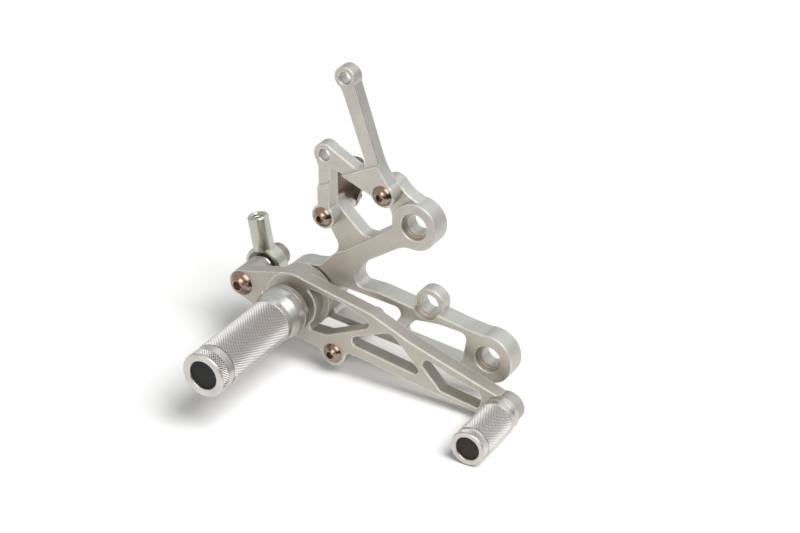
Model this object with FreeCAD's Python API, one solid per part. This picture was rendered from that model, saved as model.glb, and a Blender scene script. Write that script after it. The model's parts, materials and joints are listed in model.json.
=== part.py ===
import FreeCAD, Part
import math
import os

# Rear-set footrest of a motorcycle, brake side. A machined plate carries the footpeg, the brake
# pedal on the same spindle, and a two-armed bracket for the brake cylinder. Sizes are millimetres.
#
# Plate coordinates serve every piece: x runs forward and z up from the pedal's pivot, and depth
# runs out of the plate's flat back face towards the rider's boot. The model's own origin is the
# axis of the upper frame bolt on that back face, with +Z up and depth along -Y.

# Plate levels, measured as depth from the back face. The arms' backs lie a little in front of that
# face, so that the plate bears on the frame behind its beams and lugs alone.
BEAM_DEPTH = 11.5
ARM_BACK = 0.5
ARM_DEPTH = 9.0
EAR_DEPTH = 7.4
EDGE_CHAMFER = 0.45

# Plate hub, lugs and ear.
HUB_RADIUS = 17.0
UPPER_LUG_X = 65.3
UPPER_LUG_Z = 56.1
UPPER_LUG_RADIUS = 13.2
LOWER_LUG_X = 109.3
LOWER_LUG_Z = -9.1
LOWER_LUG_RADIUS = 13.9
LUG_BORE_RADIUS = 5.2
LUG_SINK_RADIUS = 7.4
LUG_SINK_DEPTH = 4.0
EAR_X = 72.6
EAR_Z = 11.4
EAR_RADIUS = 8.5
EAR_BORE_RADIUS = 5.1
EAR_CLEARING = 0.8
BORE_CHAMFER = 0.4

# Two small bolts hold the cylinder bracket on the plate's arms.
FRONT_BOLT_X = 50.2
FRONT_BOLT_Z = 73.0
REAR_BOLT_X = 14.2
REAR_BOLT_Z = 51.5
ARM_END_RADIUS = 6.4

# Cylinder bracket.
LEG_THICKNESS = 8.5
LEG_END_RADIUS = 6.8
BRACKET_STEP = 1.5
STEP_SLOPE = 0.5
REAR_STEP_RISE = 18.5
FRONT_STEP_RISE = 17.4
SHORT_BOSS_X = 15.0
SHORT_BOSS_Z = 86.7
SHORT_BOSS_RADIUS = 6.5
LONG_BOSS_X = 28.0
LONG_BOSS_Z = 132.2
LONG_BOSS_RADIUS = 6.2
CYLINDER_BORE_RADIUS = 3.3

# Switch tab behind the rear bracket bolt.
TAB_GAP = 6.0
TAB_THICKNESS = 3.0
TAB_WIDTH = 19.0
TAB_TOP = 25.0
TAB_SHOULDER = 8.5
TAB_END_RADIUS = 6.1
TAB_CORNER = 2.5
SWITCH_BORE_RADIUS = 5.1
SWITCH_RISE = 15.5

# Spindle, washers and bush of the pedal's pivot.
SPINDLE_RADIUS = 6.0
SPINDLE_HEAD_RADIUS = 9.0
SPINDLE_HEAD_DEPTH = 3.0
SPINDLE_SOCKET_FLATS = 6.0
SPINDLE_SOCKET_DEPTH = 3.0
SPINDLE_FLOOR = 5.0
BUSH_WALL = 2.0
INNER_WASHER = 1.0
OUTER_WASHER = 2.5
THRUST_WASHER_RADIUS = 12.0
NECK_WASHER_RADIUS = 9.9

# Brake pedal.
PEDAL_BOSS = 5.5
PEDAL_THICKNESS = 8.0
PEDAL_HUB_RADIUS = 17.5
PEDAL_CORE_RADIUS = 14.0
SHORT_ARM_STEP = 0.8
SHOULDER_X = -20.3
SHOULDER_TOP = 17.0
SHOULDER_ROUNDING = 10.5
ROD_BOLT_X = -33.7
ROD_BOLT_Z = 2.2
ROD_BOSS_RADIUS = 7.4
ROD_BOSS_LENGTH = 12.1
REAR_STRUT_X = 41.0
REAR_STRUT_Z = -6.3
FRONT_STRUT_X = 79.9
FRONT_STRUT_Z = -15.8
TOE_X = 126.3
TOE_Z = -27.5
TOE_BOSS_RADIUS = 8.5
POST_X = 24.2
POST_Z = -23.7
POST_EAR_RADIUS = 7.4

# Pull-off post that crosses under the plate.
POST_RADIUS = 4.5
POST_REACH = 36.0
POST_NUT_RADIUS = 4.4
POST_NUT_LENGTH = 4.0

# Footpeg.
COLLAR_NECK = 3.4
COLLAR_LENGTH = 7.3
COLLAR_RADIUS = 14.1
PEG_RADIUS = 12.3
PEG_LENGTH = 73.7
PEG_FLANGE_RADIUS = 14.0
PEG_FLANGE_LENGTH = 4.9
PEG_TAPER_LENGTH = 5.3
PEG_BORE_RADIUS = 7.9
PEG_FLOOR = 14.3
PEG_GROOVE_DEPTH = 0.4
PEG_GROOVE_WIDTH = 4.7
PEG_RING_WIDTH = 5.3
PEG_LIP = 1.0
PLUG_RECESS = 1.3
PLUG_THICKNESS = 4.0

# Toe peg.
TOE_WASHER = 4.4
TOE_WASHER_RADIUS = 9.6
TOE_PEG_RADIUS = 9.5
TOE_PEG_LENGTH = 34.0
TOE_PEG_BORE_RADIUS = 6.4
TOE_PEG_FLOOR = 8.0
TOE_PEG_RING_WIDTH = 2.6
TOE_GROOVE_DEPTH = 0.3
TOE_GROOVE_WIDTH = 2.8
TOE_LIP = 0.8

# Rod end on the pedal's short arm.
BALL_RADIUS = 7.94
BALL_WIDTH = 12.0
RACE_RADIUS = 9.4
RING_RADIUS = 11.2
RING_WIDTH = 9.0
RING_CHAMFER = 0.7
SHANK_RADIUS = 5.9
SHANK_REACH = 29.0
SHANK_BORE_RADIUS = 3.4
SHANK_BORE_DEPTH = 17.0
SHANK_CHAMFER = 0.8
SHANK_TILT = 10.0
ROD_NUT_RADIUS = 6.6
ROD_NUT_LENGTH = 7.5

# Screws: thread radius, head radius and head height.
M6_RADIUS = 3.0
M6_BUTTON_RADIUS = 5.6
M6_BUTTON_HEIGHT = 3.3
M6_CAP_RADIUS = 5.0
M6_CAP_HEIGHT = 6.0
M6_NUT_FLATS = 10.0
M6_NUT_HEIGHT = 4.6
M6_SOCKET_FLATS = 4.0
M8_RADIUS = 4.0
M8_BUTTON_RADIUS = 7.0
M8_BUTTON_HEIGHT = 4.4
M8_CAP_RADIUS = 6.5
M8_CAP_HEIGHT = 8.0
M8_SOCKET_FLATS = 5.0
THREAD_TAIL = 1.5

# Fits, each a gap on the radius.
RUNNING_GAP = 0.05
SEAT_GAP = 0.02
HOLE_GAP = 0.25

# How far an outline's straight sides reach inside the round ends that they run into.
RIM_BITE = 0.3

# How far a cutter runs past the face that it opens, and how close an edge is to count as on a level.
OVERCUT = 1.0
LEVEL_TOLERANCE = 0.001

# Shape of a button head, as shares of its height, and the flats that its dome is turned in.
DOME_RISE = 0.95
BUTTON_SOCKET_FLOOR = 0.35
CAP_SOCKET_FLOOR = 0.5
DOME_FLATS = 5

# Levels that follow from the stack on the spindle.
PEDAL_BOSS_BACK = BEAM_DEPTH + INNER_WASHER
PEDAL_BACK = PEDAL_BOSS_BACK + PEDAL_BOSS
PEDAL_FRONT = PEDAL_BACK + PEDAL_THICKNESS
SHORT_ARM_FRONT = PEDAL_FRONT - SHORT_ARM_STEP
COLLAR_BACK = PEDAL_FRONT + OUTER_WASHER
PEG_BACK = COLLAR_BACK + COLLAR_LENGTH
PEG_FRONT = PEG_BACK + PEG_LENGTH
TOE_PEG_BACK = PEDAL_FRONT + TOE_WASHER
TOE_PEG_FRONT = TOE_PEG_BACK + TOE_PEG_LENGTH
BRACKET_FRONT = ARM_DEPTH + LEG_THICKNESS
BRACKET_FACE = BRACKET_FRONT - BRACKET_STEP
BALL_FRONT = PEDAL_BACK - ROD_BOSS_LENGTH
BALL_BACK = BALL_FRONT - BALL_WIDTH
BALL_DEPTH = (BALL_FRONT + BALL_BACK) / 2
POST_BACK = PEDAL_BACK - POST_REACH
TAB_FRONT = -TAB_GAP
TAB_BACK = TAB_FRONT - TAB_THICKNESS

# Centres in plate coordinates.
PIVOT = (0.0, 0.0)
UPPER_LUG = (UPPER_LUG_X, UPPER_LUG_Z)
LOWER_LUG = (LOWER_LUG_X, LOWER_LUG_Z)
EAR = (EAR_X, EAR_Z)
FRONT_BOLT = (FRONT_BOLT_X, FRONT_BOLT_Z)
REAR_BOLT = (REAR_BOLT_X, REAR_BOLT_Z)
SHORT_BOSS = (SHORT_BOSS_X, SHORT_BOSS_Z)
LONG_BOSS = (LONG_BOSS_X, LONG_BOSS_Z)
ROD_BOLT = (ROD_BOLT_X, ROD_BOLT_Z)
TOE = (TOE_X, TOE_Z)
REAR_STRUT = (REAR_STRUT_X, REAR_STRUT_Z)
FRONT_STRUT = (FRONT_STRUT_X, FRONT_STRUT_Z)
POST = (POST_X, POST_Z)

OUTWARD = FreeCAD.Vector(0, -1, 0)


def point(x, depth, z):
    """Give the model's point for a place in plate coordinates."""
    return FreeCAD.Vector(x - UPPER_LUG_X, -depth, z - UPPER_LUG_Z)


def near(centre, x, z, radius=0.0):
    """Give an outline corner at an offset from a centre, with the corner's rounding radius."""
    return (centre[0] + x, centre[1] + z, radius)


def rim(centre, radius, degrees):
    """Give an outline corner just inside a round end's rim, at an angle from the x direction."""
    reach = radius - RIM_BITE
    turn = math.radians(degrees)
    return near(centre, reach * math.cos(turn), reach * math.sin(turn))


def cylinder(centre, radius, inner, outer):
    """Make a round bar about a plate point, from one depth to another."""
    return Part.makeCylinder(radius, outer - inner, point(centre[0], inner, centre[1]), OUTWARD)


def outline_wire(corners, depth):
    """Draw a closed wire through corners (x, z, radius), each one turned into a tangent arc."""
    starts = []
    edges = []
    for index, (x, z, radius) in enumerate(corners):
        here = point(x, depth, z)
        before = corners[index - 1]
        after = corners[(index + 1) % len(corners)]
        back = (point(before[0], depth, before[1]) - here).normalize()
        ahead = (point(after[0], depth, after[1]) - here).normalize()
        half_angle = back.getAngle(ahead) / 2
        reach = radius / math.tan(half_angle)
        starts.append((here + back * reach, here + ahead * reach))
        if radius > 0:
            bisector = (back + ahead).normalize()
            middle = here + bisector * (radius / math.sin(half_angle) - radius)
            edges.append(Part.Arc(here + back * reach, middle, here + ahead * reach).toShape())
    for index, (_, leave) in enumerate(starts):
        arrive = starts[(index + 1) % len(starts)][0]
        edges.append(Part.makeLine(leave, arrive))
    return Part.Wire(Part.__sortEdges__(edges))


def slab(corners, inner, outer):
    """Make a flat slab of an outline, from one depth to another."""
    face = Part.Face(outline_wire(corners, inner))
    return face.extrude(OUTWARD * (outer - inner))


def turned(centre, profile):
    """Turn a closed profile of (depth, radius) corners about an axis through a plate point."""
    corners = [point(centre[0] + radius, depth, centre[1]) for depth, radius in profile]
    wire = Part.makePolygon(corners + corners[:1])
    return Part.Face(wire).revolve(point(centre[0], 0, centre[1]), OUTWARD, 360)


def joined(shapes):
    """Fuse shapes into one solid and drop the seams between coplanar faces."""
    whole = shapes[0].fuse(shapes[1:]).removeSplitter()
    return whole.Solids[0]


def drilled(body, cutters):
    """Cut a list of shapes out of a body."""
    return body.cut(cutters).Solids[0]


def edges_at(body, depth):
    """List a body's edges that lie on one level."""
    found = []
    for edge in body.Edges:
        ends = [vertex.Point for vertex in edge.Vertexes] + [edge.CenterOfMass]
        if all(abs(end.y + depth) < LEVEL_TOLERANCE for end in ends):
            found.append(edge)
    return found


def edge_broken(body, depth):
    """Chamfer the edges of a level, as the mill leaves them."""
    return body.makeChamfer(EDGE_CHAMFER, edges_at(body, depth))


def tangent_bar(first, first_radius, second, second_radius, inner, outer):
    """Make the straight web that runs tangent to two round ends, with both ends."""
    step = FreeCAD.Vector(second[0] - first[0], 0, second[1] - first[1])
    lean = math.asin((first_radius - second_radius) / step.Length)
    heading = math.atan2(step.z, step.x)
    corners = []
    for side in (1, -1):
        angle = heading + side * (math.pi / 2 - lean)
        ends = [(first, first_radius), (second, second_radius)]
        for centre, radius in ends[::side]:
            corners.append(near(centre, radius * math.cos(angle), radius * math.sin(angle)))
    web = slab(corners, inner, outer)
    ends = [cylinder(first, first_radius, inner, outer), cylinder(second, second_radius, inner, outer)]
    return joined([web] + ends)


def hexagon(centre, flats, inner, outer):
    """Make a six-sided bar of a given width over its flats."""
    corner = flats / 2 / math.cos(math.pi / 6)
    turns = [math.pi / 3 * side for side in range(6)]
    corners = [near(centre, corner * math.cos(turn), corner * math.sin(turn)) for turn in turns]
    return slab(corners, inner, outer)


def button_screw(centre, seat, tip, radius, head_radius, head_height, socket_flats):
    """Make a button-head screw: a domed head with a hexagon socket, and a plain shank to its tip."""
    rise = head_height * DOME_RISE
    dome_radius = (head_radius ** 2 + rise ** 2) / (2 * rise)
    top = seat + head_height
    span = math.asin(head_radius / dome_radius)
    dome = []
    for flat in range(DOME_FLATS + 1):
        turn = span * (1 - flat / DOME_FLATS)
        dome.append((top - dome_radius * (1 - math.cos(turn)), dome_radius * math.sin(turn)))
    head = turned(centre, [(seat, 0.0), (seat, head_radius)] + dome)
    shank = cylinder(centre, radius, tip, seat)
    shank = shank.makeChamfer(radius / 8, edges_at(shank, tip))
    socket = hexagon(centre, socket_flats, seat + head_height * BUTTON_SOCKET_FLOOR, top + OVERCUT)
    return drilled(joined([head, shank]), [socket])


def cap_screw(centre, seat, tip, radius, head_radius, head_height, socket_flats):
    """Make a socket cap screw: a cylindrical head with a hexagon socket, and a plain shank."""
    top = seat + head_height
    head = edge_broken(cylinder(centre, head_radius, seat, top), top)
    shank = cylinder(centre, radius, tip, seat)
    socket = hexagon(centre, socket_flats, seat + head_height * CAP_SOCKET_FLOOR, top + OVERCUT)
    return drilled(joined([head, shank]), [socket])


def washer(centre, bore_radius, radius, inner, outer):
    """Make a plain ring."""
    bore = cylinder(centre, bore_radius, inner, outer)
    return drilled(cylinder(centre, radius, inner, outer), [bore])


def plate_body():
    """Outline of the thick part of the plate: hub, diagonal arm to the upper lug and the beams."""
    corners = [
        near(PIVOT, 0.0, 0.0),
        rim(PIVOT, HUB_RADIUS, 90),
        near(PIVOT, 8.0, HUB_RADIUS + 1.2, 8.0),
        near(PIVOT, 17.7, 28.6),
        near(PIVOT, 23.6, 31.4, 8.0),
        near(UPPER_LUG, -11.5, -2.6),
        near(UPPER_LUG, 0.0, 0.0),
        rim(UPPER_LUG, UPPER_LUG_RADIUS, 270),
        near(UPPER_LUG, -7.1, -UPPER_LUG_RADIUS, 14.0),
        near(PIVOT, 38.2, 29.6, 6.0),
        near(PIVOT, 28.8, 19.2, 7.0),
        near(PIVOT, 31.2, 12.0, 4.5),
        near(PIVOT, 44.0, 11.9, 20.0),
        near(EAR, -8.4, -2.7),
        near(EAR, 7.1, -2.9),
        near(LOWER_LUG, -13.7, 14.6, 40.0),
        rim(LOWER_LUG, LOWER_LUG_RADIUS, 98),
        near(LOWER_LUG, 0.0, 0.0),
        rim(LOWER_LUG, LOWER_LUG_RADIUS, 252),
        rim(PIVOT, HUB_RADIUS, -48),
    ]
    discs = [
        cylinder(PIVOT, HUB_RADIUS, 0, BEAM_DEPTH),
        cylinder(UPPER_LUG, UPPER_LUG_RADIUS, 0, BEAM_DEPTH),
    ]
    body = joined([slab(corners, 0, BEAM_DEPTH)] + discs)
    body = drilled(body, plate_windows())
    return joined([body, cylinder(LOWER_LUG, LOWER_LUG_RADIUS, 0, BEAM_DEPTH)])


def plate_windows():
    """The two windows between the plate's upper and lower beams, cut through every level."""
    rear = [
        near(PIVOT, 20.8, 9.1, 2.5),
        near(EAR, -12.2, -5.5, 4.0),
        near(EAR, -23.4, -22.7, 3.0),
        near(PIVOT, 15.6, -8.0, 2.5),
    ]
    front = [
        near(EAR, -6.2, -9.7, 4.0),
        near(EAR, 7.4, -8.3, 20.0),
        near(LOWER_LUG, -12.4, 11.3, 4.0),
        near(LOWER_LUG, -14.9, -7.7, 2.5),
        near(EAR, -18.2, -24.0, 2.5),
    ]
    return [slab(rear, 0, BEAM_DEPTH), slab(front, 0, BEAM_DEPTH)]


def plate_arms():
    """The two thinner arms that rise from the diagonal arm and carry the cylinder bracket."""
    corners = [
        near(PIVOT, 16.8, 27.2),
        near(PIVOT, 18.8, 31.8, 7.0),
        rim(REAR_BOLT, ARM_END_RADIUS, 211),
        rim(REAR_BOLT, ARM_END_RADIUS, 45),
        near(PIVOT, 34.0, 41.8, 6.0),
        near(PIVOT, 40.8, 42.6, 5.0),
        near(FRONT_BOLT, 1.4, -19.4, 4.0),
        near(FRONT_BOLT, 0.2, -13.2, 5.0),
        rim(FRONT_BOLT, ARM_END_RADIUS, 205),
        rim(FRONT_BOLT, ARM_END_RADIUS, 52),
        near(UPPER_LUG, -4.8, 15.9, 15.0),
        rim(UPPER_LUG, UPPER_LUG_RADIUS, 79),
        near(UPPER_LUG, 0.0, 0.0),
        near(UPPER_LUG, -14.0, -12.0),
        near(PIVOT, 30.0, 28.0),
    ]
    ends = [
        cylinder(REAR_BOLT, ARM_END_RADIUS, ARM_BACK, ARM_DEPTH),
        cylinder(FRONT_BOLT, ARM_END_RADIUS, ARM_BACK, ARM_DEPTH),
    ]
    return joined([slab(corners, ARM_BACK, ARM_DEPTH)] + ends)


def sunk_bore(centre):
    """Cutters for a frame bolt's bore: the hole, the sink for its head and a small mouth chamfer."""
    floor = BEAM_DEPTH - LUG_SINK_DEPTH
    mouth = BEAM_DEPTH - BORE_CHAMFER
    return turned(centre, [
        (-OVERCUT, 0.0),
        (-OVERCUT, LUG_BORE_RADIUS),
        (floor, LUG_BORE_RADIUS),
        (floor, LUG_SINK_RADIUS),
        (mouth, LUG_SINK_RADIUS),
        (BEAM_DEPTH + OVERCUT, LUG_SINK_RADIUS + BORE_CHAMFER + OVERCUT),
        (BEAM_DEPTH + OVERCUT, 0.0),
    ])


def main_plate():
    """The machined plate: one piece of aluminium with two levels, lugs, ear, windows and bores."""
    body = edge_broken(plate_body(), BEAM_DEPTH)
    arms = edge_broken(plate_arms(), ARM_DEPTH)
    ear = edge_broken(cylinder(EAR, EAR_RADIUS, 0, EAR_DEPTH), EAR_DEPTH)
    clearing = cylinder(EAR, EAR_RADIUS - EAR_CLEARING, EAR_DEPTH, BEAM_DEPTH + OVERCUT)
    body = drilled(body, [clearing])
    plate = joined([body, arms, ear])
    thread = M6_RADIUS + SEAT_GAP
    cutters = [
        sunk_bore(UPPER_LUG),
        sunk_bore(LOWER_LUG),
        cylinder(EAR, EAR_BORE_RADIUS, 0, BEAM_DEPTH),
        cylinder(PIVOT, SPINDLE_RADIUS + SEAT_GAP, 0, BEAM_DEPTH),
        cylinder(PIVOT, SPINDLE_HEAD_RADIUS + SEAT_GAP, 0, SPINDLE_HEAD_DEPTH),
        cylinder(REAR_BOLT, M6_RADIUS + HOLE_GAP, 0, ARM_DEPTH),
        cylinder(FRONT_BOLT, thread, 0, ARM_DEPTH),
    ]
    return drilled(plate, cutters)


def bracket_outline():
    """Corners of the cylinder bracket seen from outside, from the rear leg round by the long arm."""
    return [
        near(REAR_BOLT, 0.0, 0.0),
        rim(REAR_BOLT, LEG_END_RADIUS, 120),
        near(SHORT_BOSS, -4.1, -6.9, 3.0),
        rim(SHORT_BOSS, SHORT_BOSS_RADIUS, 190),
        near(SHORT_BOSS, 0.0, 0.0),
        rim(SHORT_BOSS, SHORT_BOSS_RADIUS, 59),
        near(PIVOT, 42.6, 78.9, 4.5),
        near(LONG_BOSS, -1.4, -8.2, 6.0),
        rim(LONG_BOSS, LONG_BOSS_RADIUS, 185),
        near(LONG_BOSS, 0.0, 0.0),
        rim(LONG_BOSS, LONG_BOSS_RADIUS, -15),
        near(FRONT_BOLT, -2.5, 15.2, 30.0),
        rim(FRONT_BOLT, LEG_END_RADIUS, 23),
        near(FRONT_BOLT, 0.0, 0.0),
        rim(FRONT_BOLT, LEG_END_RADIUS, 200),
        near(REAR_BOLT, 4.4, 29.6, 1.2),
        rim(REAR_BOLT, LEG_END_RADIUS, 49),
    ]


def bracket_slab(outer):
    """The bracket's whole shape up to one level, with its outer edges broken."""
    ends = [
        cylinder(REAR_BOLT, LEG_END_RADIUS, ARM_DEPTH, outer),
        cylinder(FRONT_BOLT, LEG_END_RADIUS, ARM_DEPTH, outer),
        cylinder(SHORT_BOSS, SHORT_BOSS_RADIUS, ARM_DEPTH, outer),
        cylinder(LONG_BOSS, LONG_BOSS_RADIUS, ARM_DEPTH, outer),
    ]
    whole = joined([slab(bracket_outline(), ARM_DEPTH, outer)] + ends)
    return edge_broken(whole, outer)


def foot_field(bolt, left, right, rise):
    """Corners of the field about a bolt below the slanting step, at a rise above the bolt."""
    below = -2 * LEG_END_RADIUS
    return [
        near(bolt, left, below),
        near(bolt, right, below),
        near(bolt, right, rise + STEP_SLOPE * right),
        near(bolt, left, rise + STEP_SLOPE * left),
    ]


def upper_bracket():
    """The cylinder bracket: one machined piece whose two feet stand proud of its upper part."""
    reach = 3 * LEG_END_RADIUS
    fields = [
        foot_field(REAR_BOLT, -reach, reach / 2, REAR_STEP_RISE),
        foot_field(FRONT_BOLT, -1.25 * reach, reach, FRONT_STEP_RISE),
    ]
    proud = bracket_slab(BRACKET_FRONT)
    feet = [proud.common(slab(field, ARM_DEPTH, BRACKET_FRONT)) for field in fields]
    whole = joined([bracket_slab(BRACKET_FACE)] + feet)
    hole = M6_RADIUS + HOLE_GAP
    cutters = [cylinder(bolt, hole, ARM_DEPTH, BRACKET_FRONT) for bolt in (REAR_BOLT, FRONT_BOLT)]
    cutters += [chamfered_bore(boss) for boss in (SHORT_BOSS, LONG_BOSS)]
    return drilled(whole, cutters)


def chamfered_bore(centre):
    """Cutter for a cylinder bolt's bore in the bracket, with a chamfer at its outer mouth."""
    mouth = BRACKET_FACE - BORE_CHAMFER
    return turned(centre, [
        (ARM_DEPTH - OVERCUT, 0.0),
        (ARM_DEPTH - OVERCUT, CYLINDER_BORE_RADIUS),
        (mouth, CYLINDER_BORE_RADIUS),
        (BRACKET_FACE + OVERCUT, CYLINDER_BORE_RADIUS + BORE_CHAMFER + OVERCUT),
        (BRACKET_FACE + OVERCUT, 0.0),
    ])


def switch_tab():
    """The flat steel tab for the brake light switch, behind the rear bracket bolt."""
    half = TAB_WIDTH / 2
    corners = [
        near(REAR_BOLT, -TAB_END_RADIUS, 0.0),
        near(REAR_BOLT, -half, TAB_SHOULDER, TAB_CORNER),
        near(REAR_BOLT, -half, TAB_TOP, TAB_CORNER),
        near(REAR_BOLT, half, TAB_TOP, TAB_CORNER),
        near(REAR_BOLT, half, TAB_SHOULDER, TAB_CORNER),
        near(REAR_BOLT, TAB_END_RADIUS, 0.0),
    ]
    lower_end = cylinder(REAR_BOLT, TAB_END_RADIUS, TAB_BACK, TAB_FRONT)
    tab = joined([slab(corners, TAB_BACK, TAB_FRONT), lower_end])
    switch = near(REAR_BOLT, 0.0, SWITCH_RISE)
    return drilled(tab, [
        cylinder(REAR_BOLT, M6_RADIUS + HOLE_GAP, TAB_BACK, TAB_FRONT),
        cylinder(switch, SWITCH_BORE_RADIUS, TAB_BACK, TAB_FRONT),
    ])


def pedal_arm():
    """The pedal's long arm with its three windows, from the hub to the toe boss."""
    corners = [
        near(PIVOT, 0.0, 0.0),
        rim(PIVOT, PEDAL_HUB_RADIUS, 83),
        near(PIVOT, 47.5, 7.4, 25.0),
        near(PIVOT, 72.0, -3.0, 40.0),
        rim(TOE, TOE_BOSS_RADIUS, 104),
        near(TOE, 0.0, 0.0),
        rim(TOE, TOE_BOSS_RADIUS, 262),
        near(TOE, -36.3, -2.1, 40.0),
        near(POST, 9.0, 2.8, 3.0),
        rim(POST, POST_EAR_RADIUS, -26),
        near(POST, 0.0, 0.0),
        rim(POST, POST_EAR_RADIUS, 221),
        near(POST, -8.2, 0.4, 4.0),
        near(PIVOT, -4.0, -19.4, 14.0),
        rim(ROD_BOLT, ROD_BOSS_RADIUS, 246),
        near(ROD_BOLT, 0.0, 0.0),
    ]
    discs = [
        cylinder(PIVOT, PEDAL_HUB_RADIUS, PEDAL_BACK, PEDAL_FRONT),
        cylinder(TOE, TOE_BOSS_RADIUS, PEDAL_BACK, PEDAL_FRONT),
        cylinder(POST, POST_EAR_RADIUS, PEDAL_BACK, PEDAL_FRONT),
    ]
    arm = joined([slab(corners, PEDAL_BACK, PEDAL_FRONT)] + discs)
    arm = drilled(arm, [slab(window, PEDAL_BACK, PEDAL_FRONT) for window in pedal_windows()])
    arm = joined([arm, cylinder(PIVOT, PEDAL_CORE_RADIUS, PEDAL_BACK, PEDAL_FRONT)])
    return drilled(arm, [short_arm_relief()])


def pedal_windows():
    """Corners of the long arm's three windows, which leave two struts between them."""
    first = [
        near(PIVOT, 9.6, 11.4, 1.5),
        near(PIVOT, 29.5, 9.0, 20.0),
        near(REAR_STRUT, 7.0, 8.2, 3.0),
        near(REAR_STRUT, 4.4, 3.9, 2.0),
        near(PIVOT, 20.5, -13.5, 8.0),
        near(PIVOT, 10.2, -13.5, 1.5),
    ]
    second = [
        near(REAR_STRUT, -4.4, -3.9, 2.0),
        near(REAR_STRUT, 19.3, 5.8, 6.0),
        near(FRONT_STRUT, 0.5, -6.4, 2.4),
        near(REAR_STRUT, -4.4, -8.7, 2.0),
    ]
    third = [
        near(FRONT_STRUT, -0.5, 6.5, 3.0),
        near(FRONT_STRUT, 15.6, 0.1, 30.0),
        near(TOE, -12.0, 6.9, 4.0),
        near(TOE, -14.0, -2.8, 2.4),
        near(FRONT_STRUT, 9.9, -11.0, 2.4),
        near(FRONT_STRUT, -0.9, 0.6, 2.0),
    ]
    return [first, second, third]


def short_arm_relief():
    """Cutter that sinks the short arm's front below the hub's face, up to a rounded shoulder."""
    reach = 3 * PEDAL_HUB_RADIUS
    return slab([
        near(PIVOT, -reach, -reach),
        near(PIVOT, SHOULDER_X, -reach),
        near(PIVOT, SHOULDER_X, SHOULDER_TOP, SHOULDER_ROUNDING),
        near(PIVOT, SHOULDER_X / 2, SHOULDER_TOP),
        near(PIVOT, SHOULDER_X / 2, reach),
        near(PIVOT, -reach, reach),
    ], SHORT_ARM_FRONT, PEDAL_FRONT + OVERCUT)


def brake_pedal():
    """The brake pedal: one machined piece with a long arm, a short arm, and a boss for the rod end."""
    arm = edge_broken(pedal_arm(), PEDAL_FRONT)
    ends = (PIVOT, PEDAL_HUB_RADIUS, ROD_BOLT, ROD_BOSS_RADIUS)
    short_arm = tangent_bar(*ends, PEDAL_BACK, SHORT_ARM_FRONT)
    hub = cylinder(PIVOT, PEDAL_HUB_RADIUS, PEDAL_BOSS_BACK, PEDAL_BACK)
    rod_boss = edge_broken(cylinder(ROD_BOLT, ROD_BOSS_RADIUS, BALL_FRONT, PEDAL_BACK), BALL_FRONT)
    whole = joined([arm, short_arm, hub, rod_boss])
    bush_radius = SPINDLE_RADIUS + RUNNING_GAP + BUSH_WALL
    hub_window = slab(pedal_windows()[0], PEDAL_BACK, PEDAL_FRONT)
    core = cylinder(PIVOT, PEDAL_CORE_RADIUS, PEDAL_BACK, PEDAL_FRONT)
    cutters = [
        hub_window.cut(core),
        cylinder(PIVOT, bush_radius + SEAT_GAP, PEDAL_BOSS_BACK, PEDAL_FRONT),
        cylinder(ROD_BOLT, M8_RADIUS + SEAT_GAP, BALL_FRONT, PEDAL_FRONT),
        cylinder(TOE, M6_RADIUS + SEAT_GAP, PEDAL_BACK, PEDAL_FRONT),
        cylinder(POST, M6_RADIUS + SEAT_GAP, PEDAL_BACK, PEDAL_FRONT),
    ]
    return drilled(whole, cutters)


def pivot_spindle():
    """The spindle: its head sits in the plate's back, its end takes the peg's screw."""
    body = turned(PIVOT, [
        (0.0, 0.0),
        (0.0, SPINDLE_HEAD_RADIUS),
        (SPINDLE_HEAD_DEPTH, SPINDLE_HEAD_RADIUS),
        (SPINDLE_HEAD_DEPTH, SPINDLE_RADIUS),
        (COLLAR_BACK, SPINDLE_RADIUS),
        (COLLAR_BACK, 0.0),
    ])
    thread = cylinder(PIVOT, M8_RADIUS + SEAT_GAP, SPINDLE_FLOOR, COLLAR_BACK)
    socket = hexagon(PIVOT, SPINDLE_SOCKET_FLATS, -OVERCUT, SPINDLE_SOCKET_DEPTH)
    return drilled(body, [thread, socket])


def peg_collar():
    """The ring with a short neck that clamps the pedal's stack against the peg."""
    bore = M8_RADIUS + HOLE_GAP
    lip = EDGE_CHAMFER
    ring_back = COLLAR_BACK + COLLAR_NECK
    return turned(PIVOT, [
        (COLLAR_BACK, bore),
        (COLLAR_BACK, NECK_WASHER_RADIUS - lip),
        (ring_back, NECK_WASHER_RADIUS - lip),
        (ring_back, COLLAR_RADIUS - lip),
        (ring_back + lip, COLLAR_RADIUS),
        (PEG_BACK - lip, COLLAR_RADIUS),
        (PEG_BACK, COLLAR_RADIUS - lip),
        (PEG_BACK, bore),
    ])


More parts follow.
